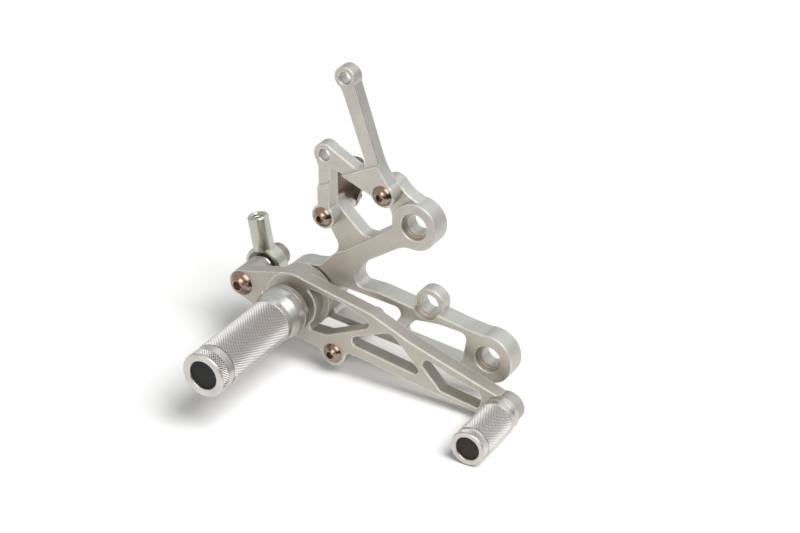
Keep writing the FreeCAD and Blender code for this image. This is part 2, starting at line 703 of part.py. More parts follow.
def footpeg():
    """The footpeg: one turned bar with a bore, a flange that tapers into it, and a ringed end."""
    bore = M8_RADIUS + HOLE_GAP
    lip = EDGE_CHAMFER
    low = PEG_RADIUS - PEG_GROOVE_DEPTH
    ring = PEG_FRONT - PEG_LIP - PEG_RING_WIDTH
    groove = ring - PEG_GROOVE_WIDTH
    taper = PEG_BACK + PEG_FLANGE_LENGTH
    return turned(PIVOT, [
        (PEG_BACK, bore),
        (PEG_BACK, PEG_FLANGE_RADIUS - lip),
        (PEG_BACK + lip, PEG_FLANGE_RADIUS),
        (taper, PEG_FLANGE_RADIUS),
        (taper + PEG_TAPER_LENGTH, PEG_RADIUS),
        (groove, PEG_RADIUS),
        (groove + PEG_GROOVE_DEPTH, low),
        (ring - PEG_GROOVE_DEPTH, low),
        (ring, PEG_RADIUS),
        (PEG_FRONT - PEG_LIP, PEG_RADIUS),
        (PEG_FRONT, PEG_RADIUS - PEG_LIP / 2),
        (PEG_FRONT, PEG_BORE_RADIUS + BORE_CHAMFER),
        (PEG_FRONT - BORE_CHAMFER, PEG_BORE_RADIUS),
        (PEG_BACK + PEG_FLOOR, PEG_BORE_RADIUS),
        (PEG_BACK + PEG_FLOOR, bore),
    ])


def toe_peg():
    """The toe peg: a smaller turned bar of the same kind, with one groove before its end."""
    bore = M6_RADIUS + HOLE_GAP
    lip = EDGE_CHAMFER
    low = TOE_PEG_RADIUS - TOE_GROOVE_DEPTH
    ring = TOE_PEG_FRONT - TOE_LIP - TOE_PEG_RING_WIDTH
    return turned(TOE, [
        (TOE_PEG_BACK, bore),
        (TOE_PEG_BACK, TOE_PEG_RADIUS - lip),
        (TOE_PEG_BACK + lip, TOE_PEG_RADIUS),
        (ring - TOE_GROOVE_WIDTH, TOE_PEG_RADIUS),
        (ring - TOE_GROOVE_WIDTH, low),
        (ring, low),
        (ring, TOE_PEG_RADIUS),
        (TOE_PEG_FRONT - TOE_LIP, TOE_PEG_RADIUS),
        (TOE_PEG_FRONT, TOE_PEG_RADIUS - TOE_LIP / 2),
        (TOE_PEG_FRONT, TOE_PEG_BORE_RADIUS + BORE_CHAMFER),
        (TOE_PEG_FRONT - BORE_CHAMFER, TOE_PEG_BORE_RADIUS),
        (TOE_PEG_BACK + TOE_PEG_FLOOR, TOE_PEG_BORE_RADIUS),
        (TOE_PEG_BACK + TOE_PEG_FLOOR, bore),
    ])


def toe_peg_washer():
    """The ring between the pedal's toe boss and the toe peg."""
    bore = M6_RADIUS + HOLE_GAP
    lip = EDGE_CHAMFER
    return turned(TOE, [
        (PEDAL_FRONT, bore),
        (PEDAL_FRONT, TOE_WASHER_RADIUS - lip),
        (PEDAL_FRONT + lip, TOE_WASHER_RADIUS),
        (TOE_PEG_BACK - lip, TOE_WASHER_RADIUS),
        (TOE_PEG_BACK, TOE_WASHER_RADIUS - lip),
        (TOE_PEG_BACK, bore),
    ])


def end_plug(centre, bore_radius, front):
    """The plastic plug that closes a peg's bore a little below its rim."""
    outer = front - PLUG_RECESS
    return cylinder(centre, bore_radius - SEAT_GAP, outer - PLUG_THICKNESS, outer)


def rod_end_ball():
    """The rod end's ball with flat sides and the bolt's bore."""
    sphere = Part.makeSphere(BALL_RADIUS, point(ROD_BOLT_X, BALL_DEPTH, ROD_BOLT_Z))
    ball = sphere.common(cylinder(ROD_BOLT, BALL_RADIUS + OVERCUT, BALL_BACK, BALL_FRONT))
    return drilled(ball, [cylinder(ROD_BOLT, M8_RADIUS + RUNNING_GAP, BALL_BACK, BALL_FRONT)])


def rod_end_race():
    """The liner ring that the ball turns in."""
    half = RING_WIDTH / 2
    ring = cylinder(ROD_BOLT, RACE_RADIUS, BALL_DEPTH - half, BALL_DEPTH + half)
    hollow = Part.makeSphere(BALL_RADIUS + RUNNING_GAP, point(ROD_BOLT_X, BALL_DEPTH, ROD_BOLT_Z))
    return drilled(ring, [hollow])


def rod_end_housing():
    """The rod end's eye and its threaded shank, which leans back from upright."""
    half = RING_WIDTH / 2
    bore = RACE_RADIUS + SEAT_GAP
    eye = turned(ROD_BOLT, [
        (BALL_DEPTH - half, 0.0),
        (BALL_DEPTH - half, RING_RADIUS - RING_CHAMFER),
        (BALL_DEPTH - half + RING_CHAMFER, RING_RADIUS),
        (BALL_DEPTH + half - RING_CHAMFER, RING_RADIUS),
        (BALL_DEPTH + half, RING_RADIUS - RING_CHAMFER),
        (BALL_DEPTH + half, 0.0),
    ])
    lean = math.radians(SHANK_TILT)
    along = FreeCAD.Vector(-math.sin(lean), 0, math.cos(lean))
    centre = point(ROD_BOLT_X, BALL_DEPTH, ROD_BOLT_Z)
    tip = centre + along * SHANK_REACH
    barrel = Part.makeCylinder(SHANK_RADIUS, SHANK_REACH - SHANK_CHAMFER, centre, along)
    nose = Part.makeCone(SHANK_RADIUS, SHANK_RADIUS - SHANK_CHAMFER, SHANK_CHAMFER,
                         tip - along * SHANK_CHAMFER, along)
    floor = tip - along * SHANK_BORE_DEPTH
    thread = Part.makeCylinder(SHANK_BORE_RADIUS, SHANK_BORE_DEPTH + OVERCUT, floor, along)
    mouth = Part.makeCone(SHANK_BORE_RADIUS, SHANK_BORE_RADIUS + SHANK_CHAMFER, SHANK_CHAMFER,
                          tip - along * SHANK_CHAMFER, along)
    clear = SHANK_RADIUS + OVERCUT
    race_bore = cylinder(ROD_BOLT, bore, BALL_DEPTH - clear, BALL_DEPTH + clear)
    whole = joined([eye, barrel, nose])
    return drilled(whole, [race_bore, thread, mouth])


def round_nut(centre, bore_radius, radius, inner, outer):
    """A turned nut with its inner edge broken."""
    body = edge_broken(cylinder(centre, radius, inner, outer), inner)
    return drilled(body, [cylinder(centre, bore_radius, inner, outer)])


def hexagon_nut(centre, bore_radius, flats, inner, outer):
    """A plain six-sided nut with its corners turned down."""
    body = hexagon(centre, flats, inner, outer)
    corner = flats / 2 / math.cos(math.pi / 6)
    round_bar = edge_broken(cylinder(centre, corner, inner, outer), inner)
    return drilled(body.common(round_bar), [cylinder(centre, bore_radius, inner, outer)])


def pivot_pieces():
    """Spindle, washers, bush, collar and footpeg, all about the pivot."""
    bore = SPINDLE_RADIUS + RUNNING_GAP
    return {
        "pivot_spindle": pivot_spindle(),
        "thrust_washer": washer(PIVOT, bore, THRUST_WASHER_RADIUS, BEAM_DEPTH, PEDAL_BOSS_BACK),
        "pedal_bush": washer(PIVOT, bore, bore + BUSH_WALL, PEDAL_BOSS_BACK, PEDAL_FRONT),
        "neck_washer": washer(PIVOT, bore, NECK_WASHER_RADIUS, PEDAL_FRONT, COLLAR_BACK),
        "peg_collar": peg_collar(),
        "footpeg": footpeg(),
        "footpeg_screw": cap_screw(
            PIVOT, PEG_BACK + PEG_FLOOR, PEDAL_BOSS_BACK, M8_RADIUS, M8_CAP_RADIUS, M8_CAP_HEIGHT,
            M8_SOCKET_FLATS),
        "footpeg_plug": end_plug(PIVOT, PEG_BORE_RADIUS, PEG_FRONT),
    }


def toe_pieces():
    """Toe peg with its washer, screw and plug."""
    return {
        "toe_peg": toe_peg(),
        "toe_peg_washer": toe_peg_washer(),
        "toe_peg_screw": cap_screw(
            TOE, TOE_PEG_BACK + TOE_PEG_FLOOR, PEDAL_BACK, M6_RADIUS, M6_CAP_RADIUS, M6_CAP_HEIGHT,
            M6_SOCKET_FLATS),
        "toe_peg_plug": end_plug(TOE, TOE_PEG_BORE_RADIUS, TOE_PEG_FRONT),
    }


def rod_end_pieces():
    """Rod end, its bolt through the pedal's short arm, and the nut behind the ball."""
    nut_back = BALL_BACK - ROD_NUT_LENGTH
    return {
        "rod_end_ball": rod_end_ball(),
        "rod_end_race": rod_end_race(),
        "rod_end_housing": rod_end_housing(),
        "rod_end_bolt": button_screw(
            ROD_BOLT, SHORT_ARM_FRONT, nut_back + THREAD_TAIL, M8_RADIUS, M8_BUTTON_RADIUS,
            M8_BUTTON_HEIGHT, M8_SOCKET_FLATS),
        "rod_end_nut": round_nut(ROD_BOLT, M8_RADIUS + SEAT_GAP, ROD_NUT_RADIUS, nut_back, BALL_BACK),
    }


def post_pieces():
    """Post of the pedal: a screw through the pedal's ear, a sleeve on it and a nut at its end."""
    nut_back = POST_BACK - POST_NUT_LENGTH
    return {
        "post_screw": button_screw(
            POST, PEDAL_FRONT, nut_back, M6_RADIUS, M6_BUTTON_RADIUS, M6_BUTTON_HEIGHT,
            M6_SOCKET_FLATS),
        "post_sleeve": washer(POST, M6_RADIUS + SEAT_GAP, POST_RADIUS, POST_BACK, PEDAL_BACK),
        "post_nut": round_nut(POST, M6_RADIUS + SEAT_GAP, POST_NUT_RADIUS, nut_back, POST_BACK),
    }


def bracket_pieces():
    """Cylinder bracket with its two screws, and the switch tab on the rear one."""
    nut_back = TAB_BACK - M6_NUT_HEIGHT
    bore = M6_RADIUS + HOLE_GAP
    screw_tips = {"rear": (REAR_BOLT, nut_back - THREAD_TAIL), "front": (FRONT_BOLT, THREAD_TAIL)}
    pieces = {
        "upper_bracket": upper_bracket(),
        "tab_spacer": washer(REAR_BOLT, bore, ARM_END_RADIUS - HOLE_GAP, TAB_FRONT, ARM_BACK),
        "switch_tab": switch_tab(),
        "tab_nut": hexagon_nut(REAR_BOLT, M6_RADIUS + SEAT_GAP, M6_NUT_FLATS, nut_back, TAB_BACK),
    }
    for side, (centre, tip) in screw_tips.items():
        pieces[side + "_bracket_screw"] = button_screw(
            centre, BRACKET_FRONT, tip, M6_RADIUS, M6_BUTTON_RADIUS, M6_BUTTON_HEIGHT,
            M6_SOCKET_FLATS)
    return pieces


def main():
    """Build every piece and write one STEP file for each."""
    pieces = {"main_plate": main_plate(), "brake_pedal": brake_pedal()}
    for group in (pivot_pieces(), toe_pieces(), rod_end_pieces(), post_pieces(), bracket_pieces()):
        pieces.update(group)
    os.makedirs("parts", exist_ok=True)
    for name, shape in pieces.items():
        shape.exportStep("parts/" + name + ".step")
        print(name, len(shape.Solids), shape.isValid(), round(shape.Volume, 1))


main()
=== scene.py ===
import json
import logging
import math
from dataclasses import dataclass
from enum import Enum
from typing import ClassVar

import bmesh
import bpy
from mathutils import Euler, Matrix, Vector

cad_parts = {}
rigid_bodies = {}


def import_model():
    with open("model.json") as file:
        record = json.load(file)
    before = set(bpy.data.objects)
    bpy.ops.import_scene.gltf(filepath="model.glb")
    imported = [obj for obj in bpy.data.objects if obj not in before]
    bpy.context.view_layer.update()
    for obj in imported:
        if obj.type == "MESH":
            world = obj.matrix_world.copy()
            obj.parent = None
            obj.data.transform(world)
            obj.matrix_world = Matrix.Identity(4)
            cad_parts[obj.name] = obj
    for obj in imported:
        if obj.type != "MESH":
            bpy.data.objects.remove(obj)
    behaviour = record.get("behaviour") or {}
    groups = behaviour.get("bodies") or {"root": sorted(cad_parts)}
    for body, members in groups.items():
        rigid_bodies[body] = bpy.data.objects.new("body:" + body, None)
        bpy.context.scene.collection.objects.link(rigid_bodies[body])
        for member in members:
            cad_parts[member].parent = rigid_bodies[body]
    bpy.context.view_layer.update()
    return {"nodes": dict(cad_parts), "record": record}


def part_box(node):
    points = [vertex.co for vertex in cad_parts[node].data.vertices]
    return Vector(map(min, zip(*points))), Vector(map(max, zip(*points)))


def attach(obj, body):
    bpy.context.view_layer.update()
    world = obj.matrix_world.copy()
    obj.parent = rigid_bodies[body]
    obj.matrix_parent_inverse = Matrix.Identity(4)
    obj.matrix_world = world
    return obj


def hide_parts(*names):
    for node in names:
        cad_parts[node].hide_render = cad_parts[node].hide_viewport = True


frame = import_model()
LOG = logging.getLogger("footrest")
MM = 0.001
SHARP_ANGLE = math.radians(38)  # turned faces that meet more steeply than this keep a sharp edge

Corner = tuple[float, float]
Colour = tuple[float, float, float, float]
Spot = tuple[float, float, float]
Tree = bpy.types.NodeTree
Node = bpy.types.Node
Socket = bpy.types.NodeSocket
Material = bpy.types.Material
Mesh = bpy.types.Mesh
Object = bpy.types.Object


class Cut(Enum):
    """The patterns that a turned band can carry."""

    KNURL = "diamond knurling, pressed by two crossing wheels"
    THREAD = "a single V thread"


class Ray(Enum):
    """The ray kinds that see the white studio instead of its plain light."""

    CAMERA = "Is Camera Ray"
    GLOSSY = "Is Glossy Ray"
    TRANSMISSION = "Is Transmission Ray"


def linear(code: str) -> Colour:
    """Turn an sRGB hex colour to linear values.

    Args:
        code: The colour as "#rrggbb".

    Returns:
        Red, green, blue and an alpha of 1.
    """
    parts = [int(code[place:place + 2], 16) / 255 for place in (1, 3, 5)]
    tones = [
        part / 12.92 if part <= 0.04045 else ((part + 0.055) / 1.055) ** 2.4 for part in parts]
    return (tones[0], tones[1], tones[2], 1.0)


def add(tree: Tree, kind: str, settings: dict | None = None,
        feeds: dict | None = None) -> Node:
    """Add a node to a tree with its settings, its constants and its links.

    Args:
        tree: The shader or geometry tree.
        kind: The node's type name.
        settings: Attribute values of the node.
        feeds: For each input's name or number, a node, a socket or a constant.

    Returns:
        The new node.
    """
    node = tree.nodes.new(kind)
    for name, value in (settings or {}).items():
        setattr(node, name, value)
    for place, value in (feeds or {}).items():
        target = node.inputs[place]
        if isinstance(value, Node):
            tree.links.new(value.outputs[0], target)
        elif isinstance(value, Socket):
            tree.links.new(value, target)
        else:
            target.default_value = value
    return node


def centre_of(node: str) -> Vector:
    """Give the middle of a CAD node's box, in metres.

    Args:
        node: The CAD node's name.

    Returns:
        The middle point.
    """
    low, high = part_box(node)
    return (low + high) / 2


@dataclass(frozen=True)
class Finish:
    """What every finish has: a name, a main colour and how matt it is."""

    WEAR_AND_HIGHLIGHT_COSINE: ClassVar[float] = 0.95  # an edge gets its full wear and painted highlight where its normal leans this far
    name: str
    colour: str
    roughness: float

    def begin(self, metallic: float) -> tuple[Material, Tree, Node]:
        """Make a material with an empty tree, a Principled shader and the output.

        Args:
            metallic: 1 for bare or plated metal, 0 for plastic.

        Returns:
            The material, its tree and its shader.
        """
        material = bpy.data.materials.new(self.name)
        material.use_nodes = True
        tree = material.node_tree
        tree.nodes.clear()
        shader = add(tree, "ShaderNodeBsdfPrincipled", None, {
            "Base Color": linear(self.colour), "Metallic": metallic, "Roughness": self.roughness})
        add(tree, "ShaderNodeOutputMaterial", None, {"Surface": shader})
        return material, tree, shader

    def noise(self, tree: Tree, size_mm: float, detail: float, stretch: Spot = (1.0, 1.0, 1.0),
              turn: float = 0.0) -> Node:
        """Add a noise pattern on Object coordinates with blotches of a real size.

        Args:
            tree: The material's tree.
            size_mm: A blotch's size in millimetres.
            detail: Octaves of finer pattern.
            stretch: How many times finer the pattern runs along each axis.
            turn: Turn about the depth axis in degrees.

        Returns:
            The noise node.
        """
        place = add(tree, "ShaderNodeTexCoord")
        mapping = add(tree, "ShaderNodeMapping", {"vector_type": "TEXTURE"}, {
            "Vector": place.outputs["Object"], "Rotation": (0.0, math.radians(turn), 0.0),
            "Scale": tuple(1.0 / share for share in stretch)})
        return add(tree, "ShaderNodeTexNoise", None, {
            "Vector": mapping, "Scale": 1.0 / (size_mm * MM), "Detail": detail, "Roughness": 0.55})

    def between(self, tree: Tree, pattern: Node, low: float, high: float) -> Node:
        """Spread a pattern's middle values over a range.

        Args:
            tree: The material's tree.
            pattern: The node whose first output is spread.
            low: The value at the pattern's dark parts.
            high: The value at its light parts.

        Returns:
            The Map Range node.
        """
        return add(tree, "ShaderNodeMapRange", None, {
            "Value": pattern, "From Min": 0.3, "From Max": 0.7, "To Min": low, "To Max": high})

    def tinted(self, tree: Tree, share: Node, first: str, second: str) -> Socket:
        """Mix two colours by a pattern.

        Args:
            tree: The material's tree.
            share: The node that gives the second colour's share.
            first: The colour at share 0.
            second: The colour at share 1.

        Returns:
            The mixed colour's socket.
        """
        mix = add(tree, "ShaderNodeMix", {"data_type": "RGBA"}, {
            0: share, 6: linear(first), 7: linear(second)})
        return mix.outputs[2]

    def place_about(self, tree: Tree, axis: tuple[float, float]) -> tuple[Socket, Socket]:
        """Add the distance from an axis along the depth direction, and the place along it.

        Args:
            tree: The material's tree.
            axis: The axis's x and z in metres.

        Returns:
            The sockets that give the distance and the place.
        """
        place = add(tree, "ShaderNodeTexCoord")
        parts = add(tree, "ShaderNodeSeparateXYZ", None, {0: place.outputs["Object"]})
        across = add(tree, "ShaderNodeMath", {"operation": "SUBTRACT"}, {
            0: parts.outputs[0], 1: axis[0]})
        above = add(tree, "ShaderNodeMath", {"operation": "SUBTRACT"}, {
            0: parts.outputs[2], 1: axis[1]})
        flat = add(tree, "ShaderNodeCombineXYZ", None, {0: across, 1: above})
        length = add(tree, "ShaderNodeVectorMath", {"operation": "LENGTH"}, {0: flat})
        return length.outputs["Value"], parts.outputs[1]

    def wear_and_highlight_edges(self, tree: Tree, width_mm: float) -> tuple[Node, Node]:
        """Round the edges' shading and find how near each point is to an edge, for edges lightened
        partly by wear and partly as a painted highlight.

        Args:
            tree: The material's tree.
            width_mm: The width of the burnished strip.

        Returns:
            The rounded normal and a node that is 1 on edges and 0 elsewhere.
        """
        rounded = add(tree, "ShaderNodeBevel", {"samples": 4}, {"Radius": width_mm * MM})
        flat = add(tree, "ShaderNodeNewGeometry")
        agree = add(tree, "ShaderNodeVectorMath", {"operation": "DOT_PRODUCT"}, {
            0: rounded, 1: flat.outputs["Normal"]})
        edge = add(tree, "ShaderNodeMapRange", None, {
            "Value": agree.outputs["Value"], "From Min": 1.0, "From Max": self.WEAR_AND_HIGHLIGHT_COSINE,
            "To Min": 0.0, "To Max": 1.0})
        return rounded, edge


@dataclass(frozen=True)
class MilledAluminium(Finish):
    """Milled aluminium, tumbled to a satin: even warm grey faces with edges brightened partly by
    tumbling wear and partly as a painted highlight.
    """

    # the edges' colour: partly tumbling wear, partly a painted highlight
    edge_colour: str = "#ffffff"
    shade_colour: str = "#b8b4ad"
    grain_mm: float = 0.35  # tumbling leaves pits of about 0.1 mm, drawn coarser so that they show
    stroke_mm: float = 0.5  # the face mill's feed marks, drawn at twice their spacing
    stroke_turn: float = 38.0
    stroke_length: float = 25.0  # how many times longer than wide a mark is
    stroke_share: float = 0.27
    cloud_mm: float = 24.0
    cloud_share: float = 0.6
    relief_mm: float = 0.03
    edge_mm: float = 0.5  # the strip that tumbling wears bright and that also carries a painted highlight

    def make(self) -> Material:
        """Build the material.

        Returns:
            The finished material.
        """
        material, tree, shader = self.begin(1.0)
        _, edge = self.wear_and_highlight_edges(tree, self.edge_mm)
        cloud = self.noise(tree, self.cloud_mm, 3.0)
        grain = self.noise(tree, self.grain_mm, 2.0)
        strokes = self.noise(
            tree, self.stroke_mm, 1.0, (1.0, 1.0, 1.0 / self.stroke_length), self.stroke_turn)
        mottle = add(tree, "ShaderNodeMath", {"operation": "MULTIPLY_ADD"}, {
            0: self.between(tree, strokes, 0.0, 1.0), 1: self.stroke_share,
            2: self.between(tree, cloud, 0.0, self.cloud_share)})
        face = self.tinted(tree, mottle, self.colour, self.shade_colour)
        # edges lightened towards the edge colour: partly wear, partly a painted highlight
        wear_and_highlight = add(tree, "ShaderNodeMix", {"data_type": "RGBA"}, {
            0: edge, 6: face, 7: linear(self.edge_colour)})
        matt = self.between(tree, strokes, self.roughness - 0.05, self.roughness + 0.06)
        relief = add(tree, "ShaderNodeMath", {"operation": "MULTIPLY_ADD"}, {
            0: strokes, 1: 0.6, 2: grain})
        bump = add(tree, "ShaderNodeBump", None, {
            "Strength": 0.6, "Distance": self.relief_mm * MM, "Height": relief})
        tree.links.new(wear_and_highlight.outputs[2], shader.inputs["Base Color"])
        tree.links.new(matt.outputs[0], shader.inputs["Roughness"])
        tree.links.new(bump.outputs[0], shader.inputs["Normal"])
        return material


@dataclass(frozen=True)
class TurnedMetal(Finish):
    """Metal straight off the lathe: fine rings about its own axis, on the barrel and the ends."""

    axis: tuple[float, float] = (0.0, 0.0)
    # the edges' colour: partly wear, partly a painted highlight
    edge_colour: str = "#eeeae2"
    feed_mm: float = 0.3  # a finishing cut's feed of about 0.1 mm, drawn coarser so that it shows
    ring_depth_mm: float = 0.02
    edge_mm: float = 0.15
    stain_colour: str = "#9d968d"
    stain_mm: float = 9.0
    stain_share: float = 0.35

    def make(self) -> Material:
        """Build the material.

        Returns:
            The finished material.
        """
        material, tree, shader = self.begin(1.0)
        rounded, edge = self.wear_and_highlight_edges(tree, self.edge_mm)
        radius, along = self.place_about(tree, self.axis)
        travel = add(tree, "ShaderNodeMath", {"operation": "ADD"}, {0: radius, 1: along})
        rings = add(tree, "ShaderNodeTexNoise", {"noise_dimensions": "1D"}, {
            "W": travel, "Scale": 1.0 / (self.feed_mm * MM), "Detail": 2.0})
        stain = self.between(tree, self.noise(tree, self.stain_mm, 2.0), 0.0, self.stain_share)
        # edges lightened towards the edge colour: partly wear, partly a painted highlight
        wear_and_highlight = add(tree, "ShaderNodeMix", {"data_type": "RGBA"}, {
            0: edge, 6: self.tinted(tree, stain, self.colour, self.stain_colour),
            7: linear(self.edge_colour)})
        matt = self.between(tree, rings, self.roughness - 0.06, self.roughness + 0.08)
        bump = add(tree, "ShaderNodeBump", None, {
            "Strength": 0.4, "Distance": self.ring_depth_mm * MM, "Height": rings, "Normal": rounded})
        tree.links.new(wear_and_highlight.outputs[2], shader.inputs["Base Color"])
        tree.links.new(matt.outputs[0], shader.inputs["Roughness"])
        tree.links.new(bump.outputs[0], shader.inputs["Normal"])
        return material


@dataclass(frozen=True)
class KnurledAluminium(Finish):
    """Knurled aluminium: bright pressed crests over grooves painted darker, as painted shade with a
    little dirt.
    """

    axis: tuple[float, float] = (0.0, 0.0)
    crest_mm: float = 12.3
    cut_mm: float = 0.42
    # the grooves' colour: painted shade in the roots, with a little dirt
    groove_shade_and_dirt_colour: str = "#5c5049"
    groove_share: float = 0.85
    scuff_mm: float = 1.2

    def make(self) -> Material:
        """Build the material.

        Returns:
            The finished material.
        """
        material, tree, shader = self.begin(1.0)
        radius, _ = self.place_about(tree, self.axis)
        low = (self.crest_mm - self.cut_mm) * MM
        high = (self.crest_mm - self.cut_mm * (1 - self.groove_share)) * MM
        # darker towards the roots of the grooves: painted shade, with a little dirt
        crest = add(tree, "ShaderNodeMapRange", None, {
            "Value": radius, "From Min": low, "From Max": high, "To Min": 0.0, "To Max": 1.0})
        scuffs = self.noise(tree, self.scuff_mm, 3.0)
        matt = self.between(tree, scuffs, self.roughness - 0.04, self.roughness + 0.06)
        tree.links.new(self.tinted(tree, crest, self.groove_shade_and_dirt_colour, self.colour),
                       shader.inputs["Base Color"])
        tree.links.new(matt.outputs[0], shader.inputs["Roughness"])
        return material


@dataclass(frozen=True)
class PlatedSteel(Finish):
    """Plated or polished steel: a clear sheen whose tint drifts a little over the surface, and edges
    lightened partly by wear and partly as a painted highlight.
    """

    drift_colour: str = "#b9b9b4"
    drift_mm: float = 3.5
    pit_mm: float = 0.4  # the coating's orange peel
    pit_depth_mm: float = 0.006
    # the edges' colour: partly wear, partly a painted highlight
    edge_colour: str = "#f2efe8"
    edge_mm: float = 0.2
    edge_share: float = 0.6

    def make(self) -> Material:
        """Build the material.

        Returns:
            The finished material.
        """
        material, tree, shader = self.begin(1.0)
        rounded, edge = self.wear_and_highlight_edges(tree, self.edge_mm)
        drift = self.noise(tree, self.drift_mm, 3.0)
        pits = self.noise(tree, self.pit_mm, 2.0)
        share = self.between(tree, drift, 0.0, 1.0)
        # edges lightened towards the edge colour: partly wear, partly a painted highlight
        wear_and_highlight = add(tree, "ShaderNodeMix", {"data_type": "RGBA"}, {
            0: add(tree, "ShaderNodeMath", {"operation": "MULTIPLY"}, {0: edge, 1: self.edge_share}),
            6: self.tinted(tree, share, self.colour, self.drift_colour), 7: linear(self.edge_colour)})
        matt = self.between(tree, pits, self.roughness - 0.03, self.roughness + 0.06)
        bump = add(tree, "ShaderNodeBump", None, {
            "Strength": 0.4, "Distance": self.pit_depth_mm * MM, "Height": pits, "Normal": rounded})
        tree.links.new(wear_and_highlight.outputs[2], shader.inputs["Base Color"])
        tree.links.new(matt.outputs[0], shader.inputs["Roughness"])
        tree.links.new(bump.outputs[0], shader.inputs["Normal"])
        return material


@dataclass(frozen=True)
class MouldedPlastic(Finish):
    """Spark-eroded moulded nylon: matt, with a fine pebble that breaks up the light."""

    light_colour: str = "#3b3a37"
    pebble_mm: float = 0.3
    pebble_depth_mm: float = 0.02
    cloud_mm: float = 5.0
    gloss: float = 0.25

    def make(self) -> Material:
        """Build the material.

        Returns:
            The finished material.
        """
        material, tree, shader = self.begin(0.0)
        pebble = self.noise(tree, self.pebble_mm, 2.0)
        shade = self.between(tree, self.noise(tree, self.cloud_mm, 2.0), 0.0, 0.5)
        matt = self.between(tree, pebble, self.roughness - 0.06, self.roughness + 0.08)
        bump = add(tree, "ShaderNodeBump", None, {
            "Strength": 0.5, "Distance": self.pebble_depth_mm * MM, "Height": pebble})
        tree.links.new(self.tinted(tree, shade, self.colour, self.light_colour),
                       shader.inputs["Base Color"])
        tree.links.new(matt.outputs[0], shader.inputs["Roughness"])
        tree.links.new(bump.outputs[0], shader.inputs["Normal"])
        shader.inputs["Specular IOR Level"].default_value = self.gloss
        return material


@dataclass(frozen=True)
class SinteredBronze(Finish):
    """Sintered bronze of a plain bush: brass-brown with fine dark pores full of oil."""

    pore_colour: str = "#4a3622"
    pore_mm: float = 0.3

    def make(self) -> Material:
        """Build the material.

        Returns:
            The finished material.
        """
        material, tree, shader = self.begin(1.0)
        pores = self.noise(tree, self.pore_mm, 3.0)
        share = add(tree, "ShaderNodeMapRange", None, {
            "Value": pores, "From Min": 0.6, "From Max": 0.7, "To Min": 0.0, "To Max": 0.8})
        matt = self.between(tree, pores, self.roughness - 0.05, self.roughness + 0.1)
        tree.links.new(self.tinted(tree, share, self.colour, self.pore_colour),
                       shader.inputs["Base Color"])
        tree.links.new(matt.outputs[0], shader.inputs["Roughness"])
        return material


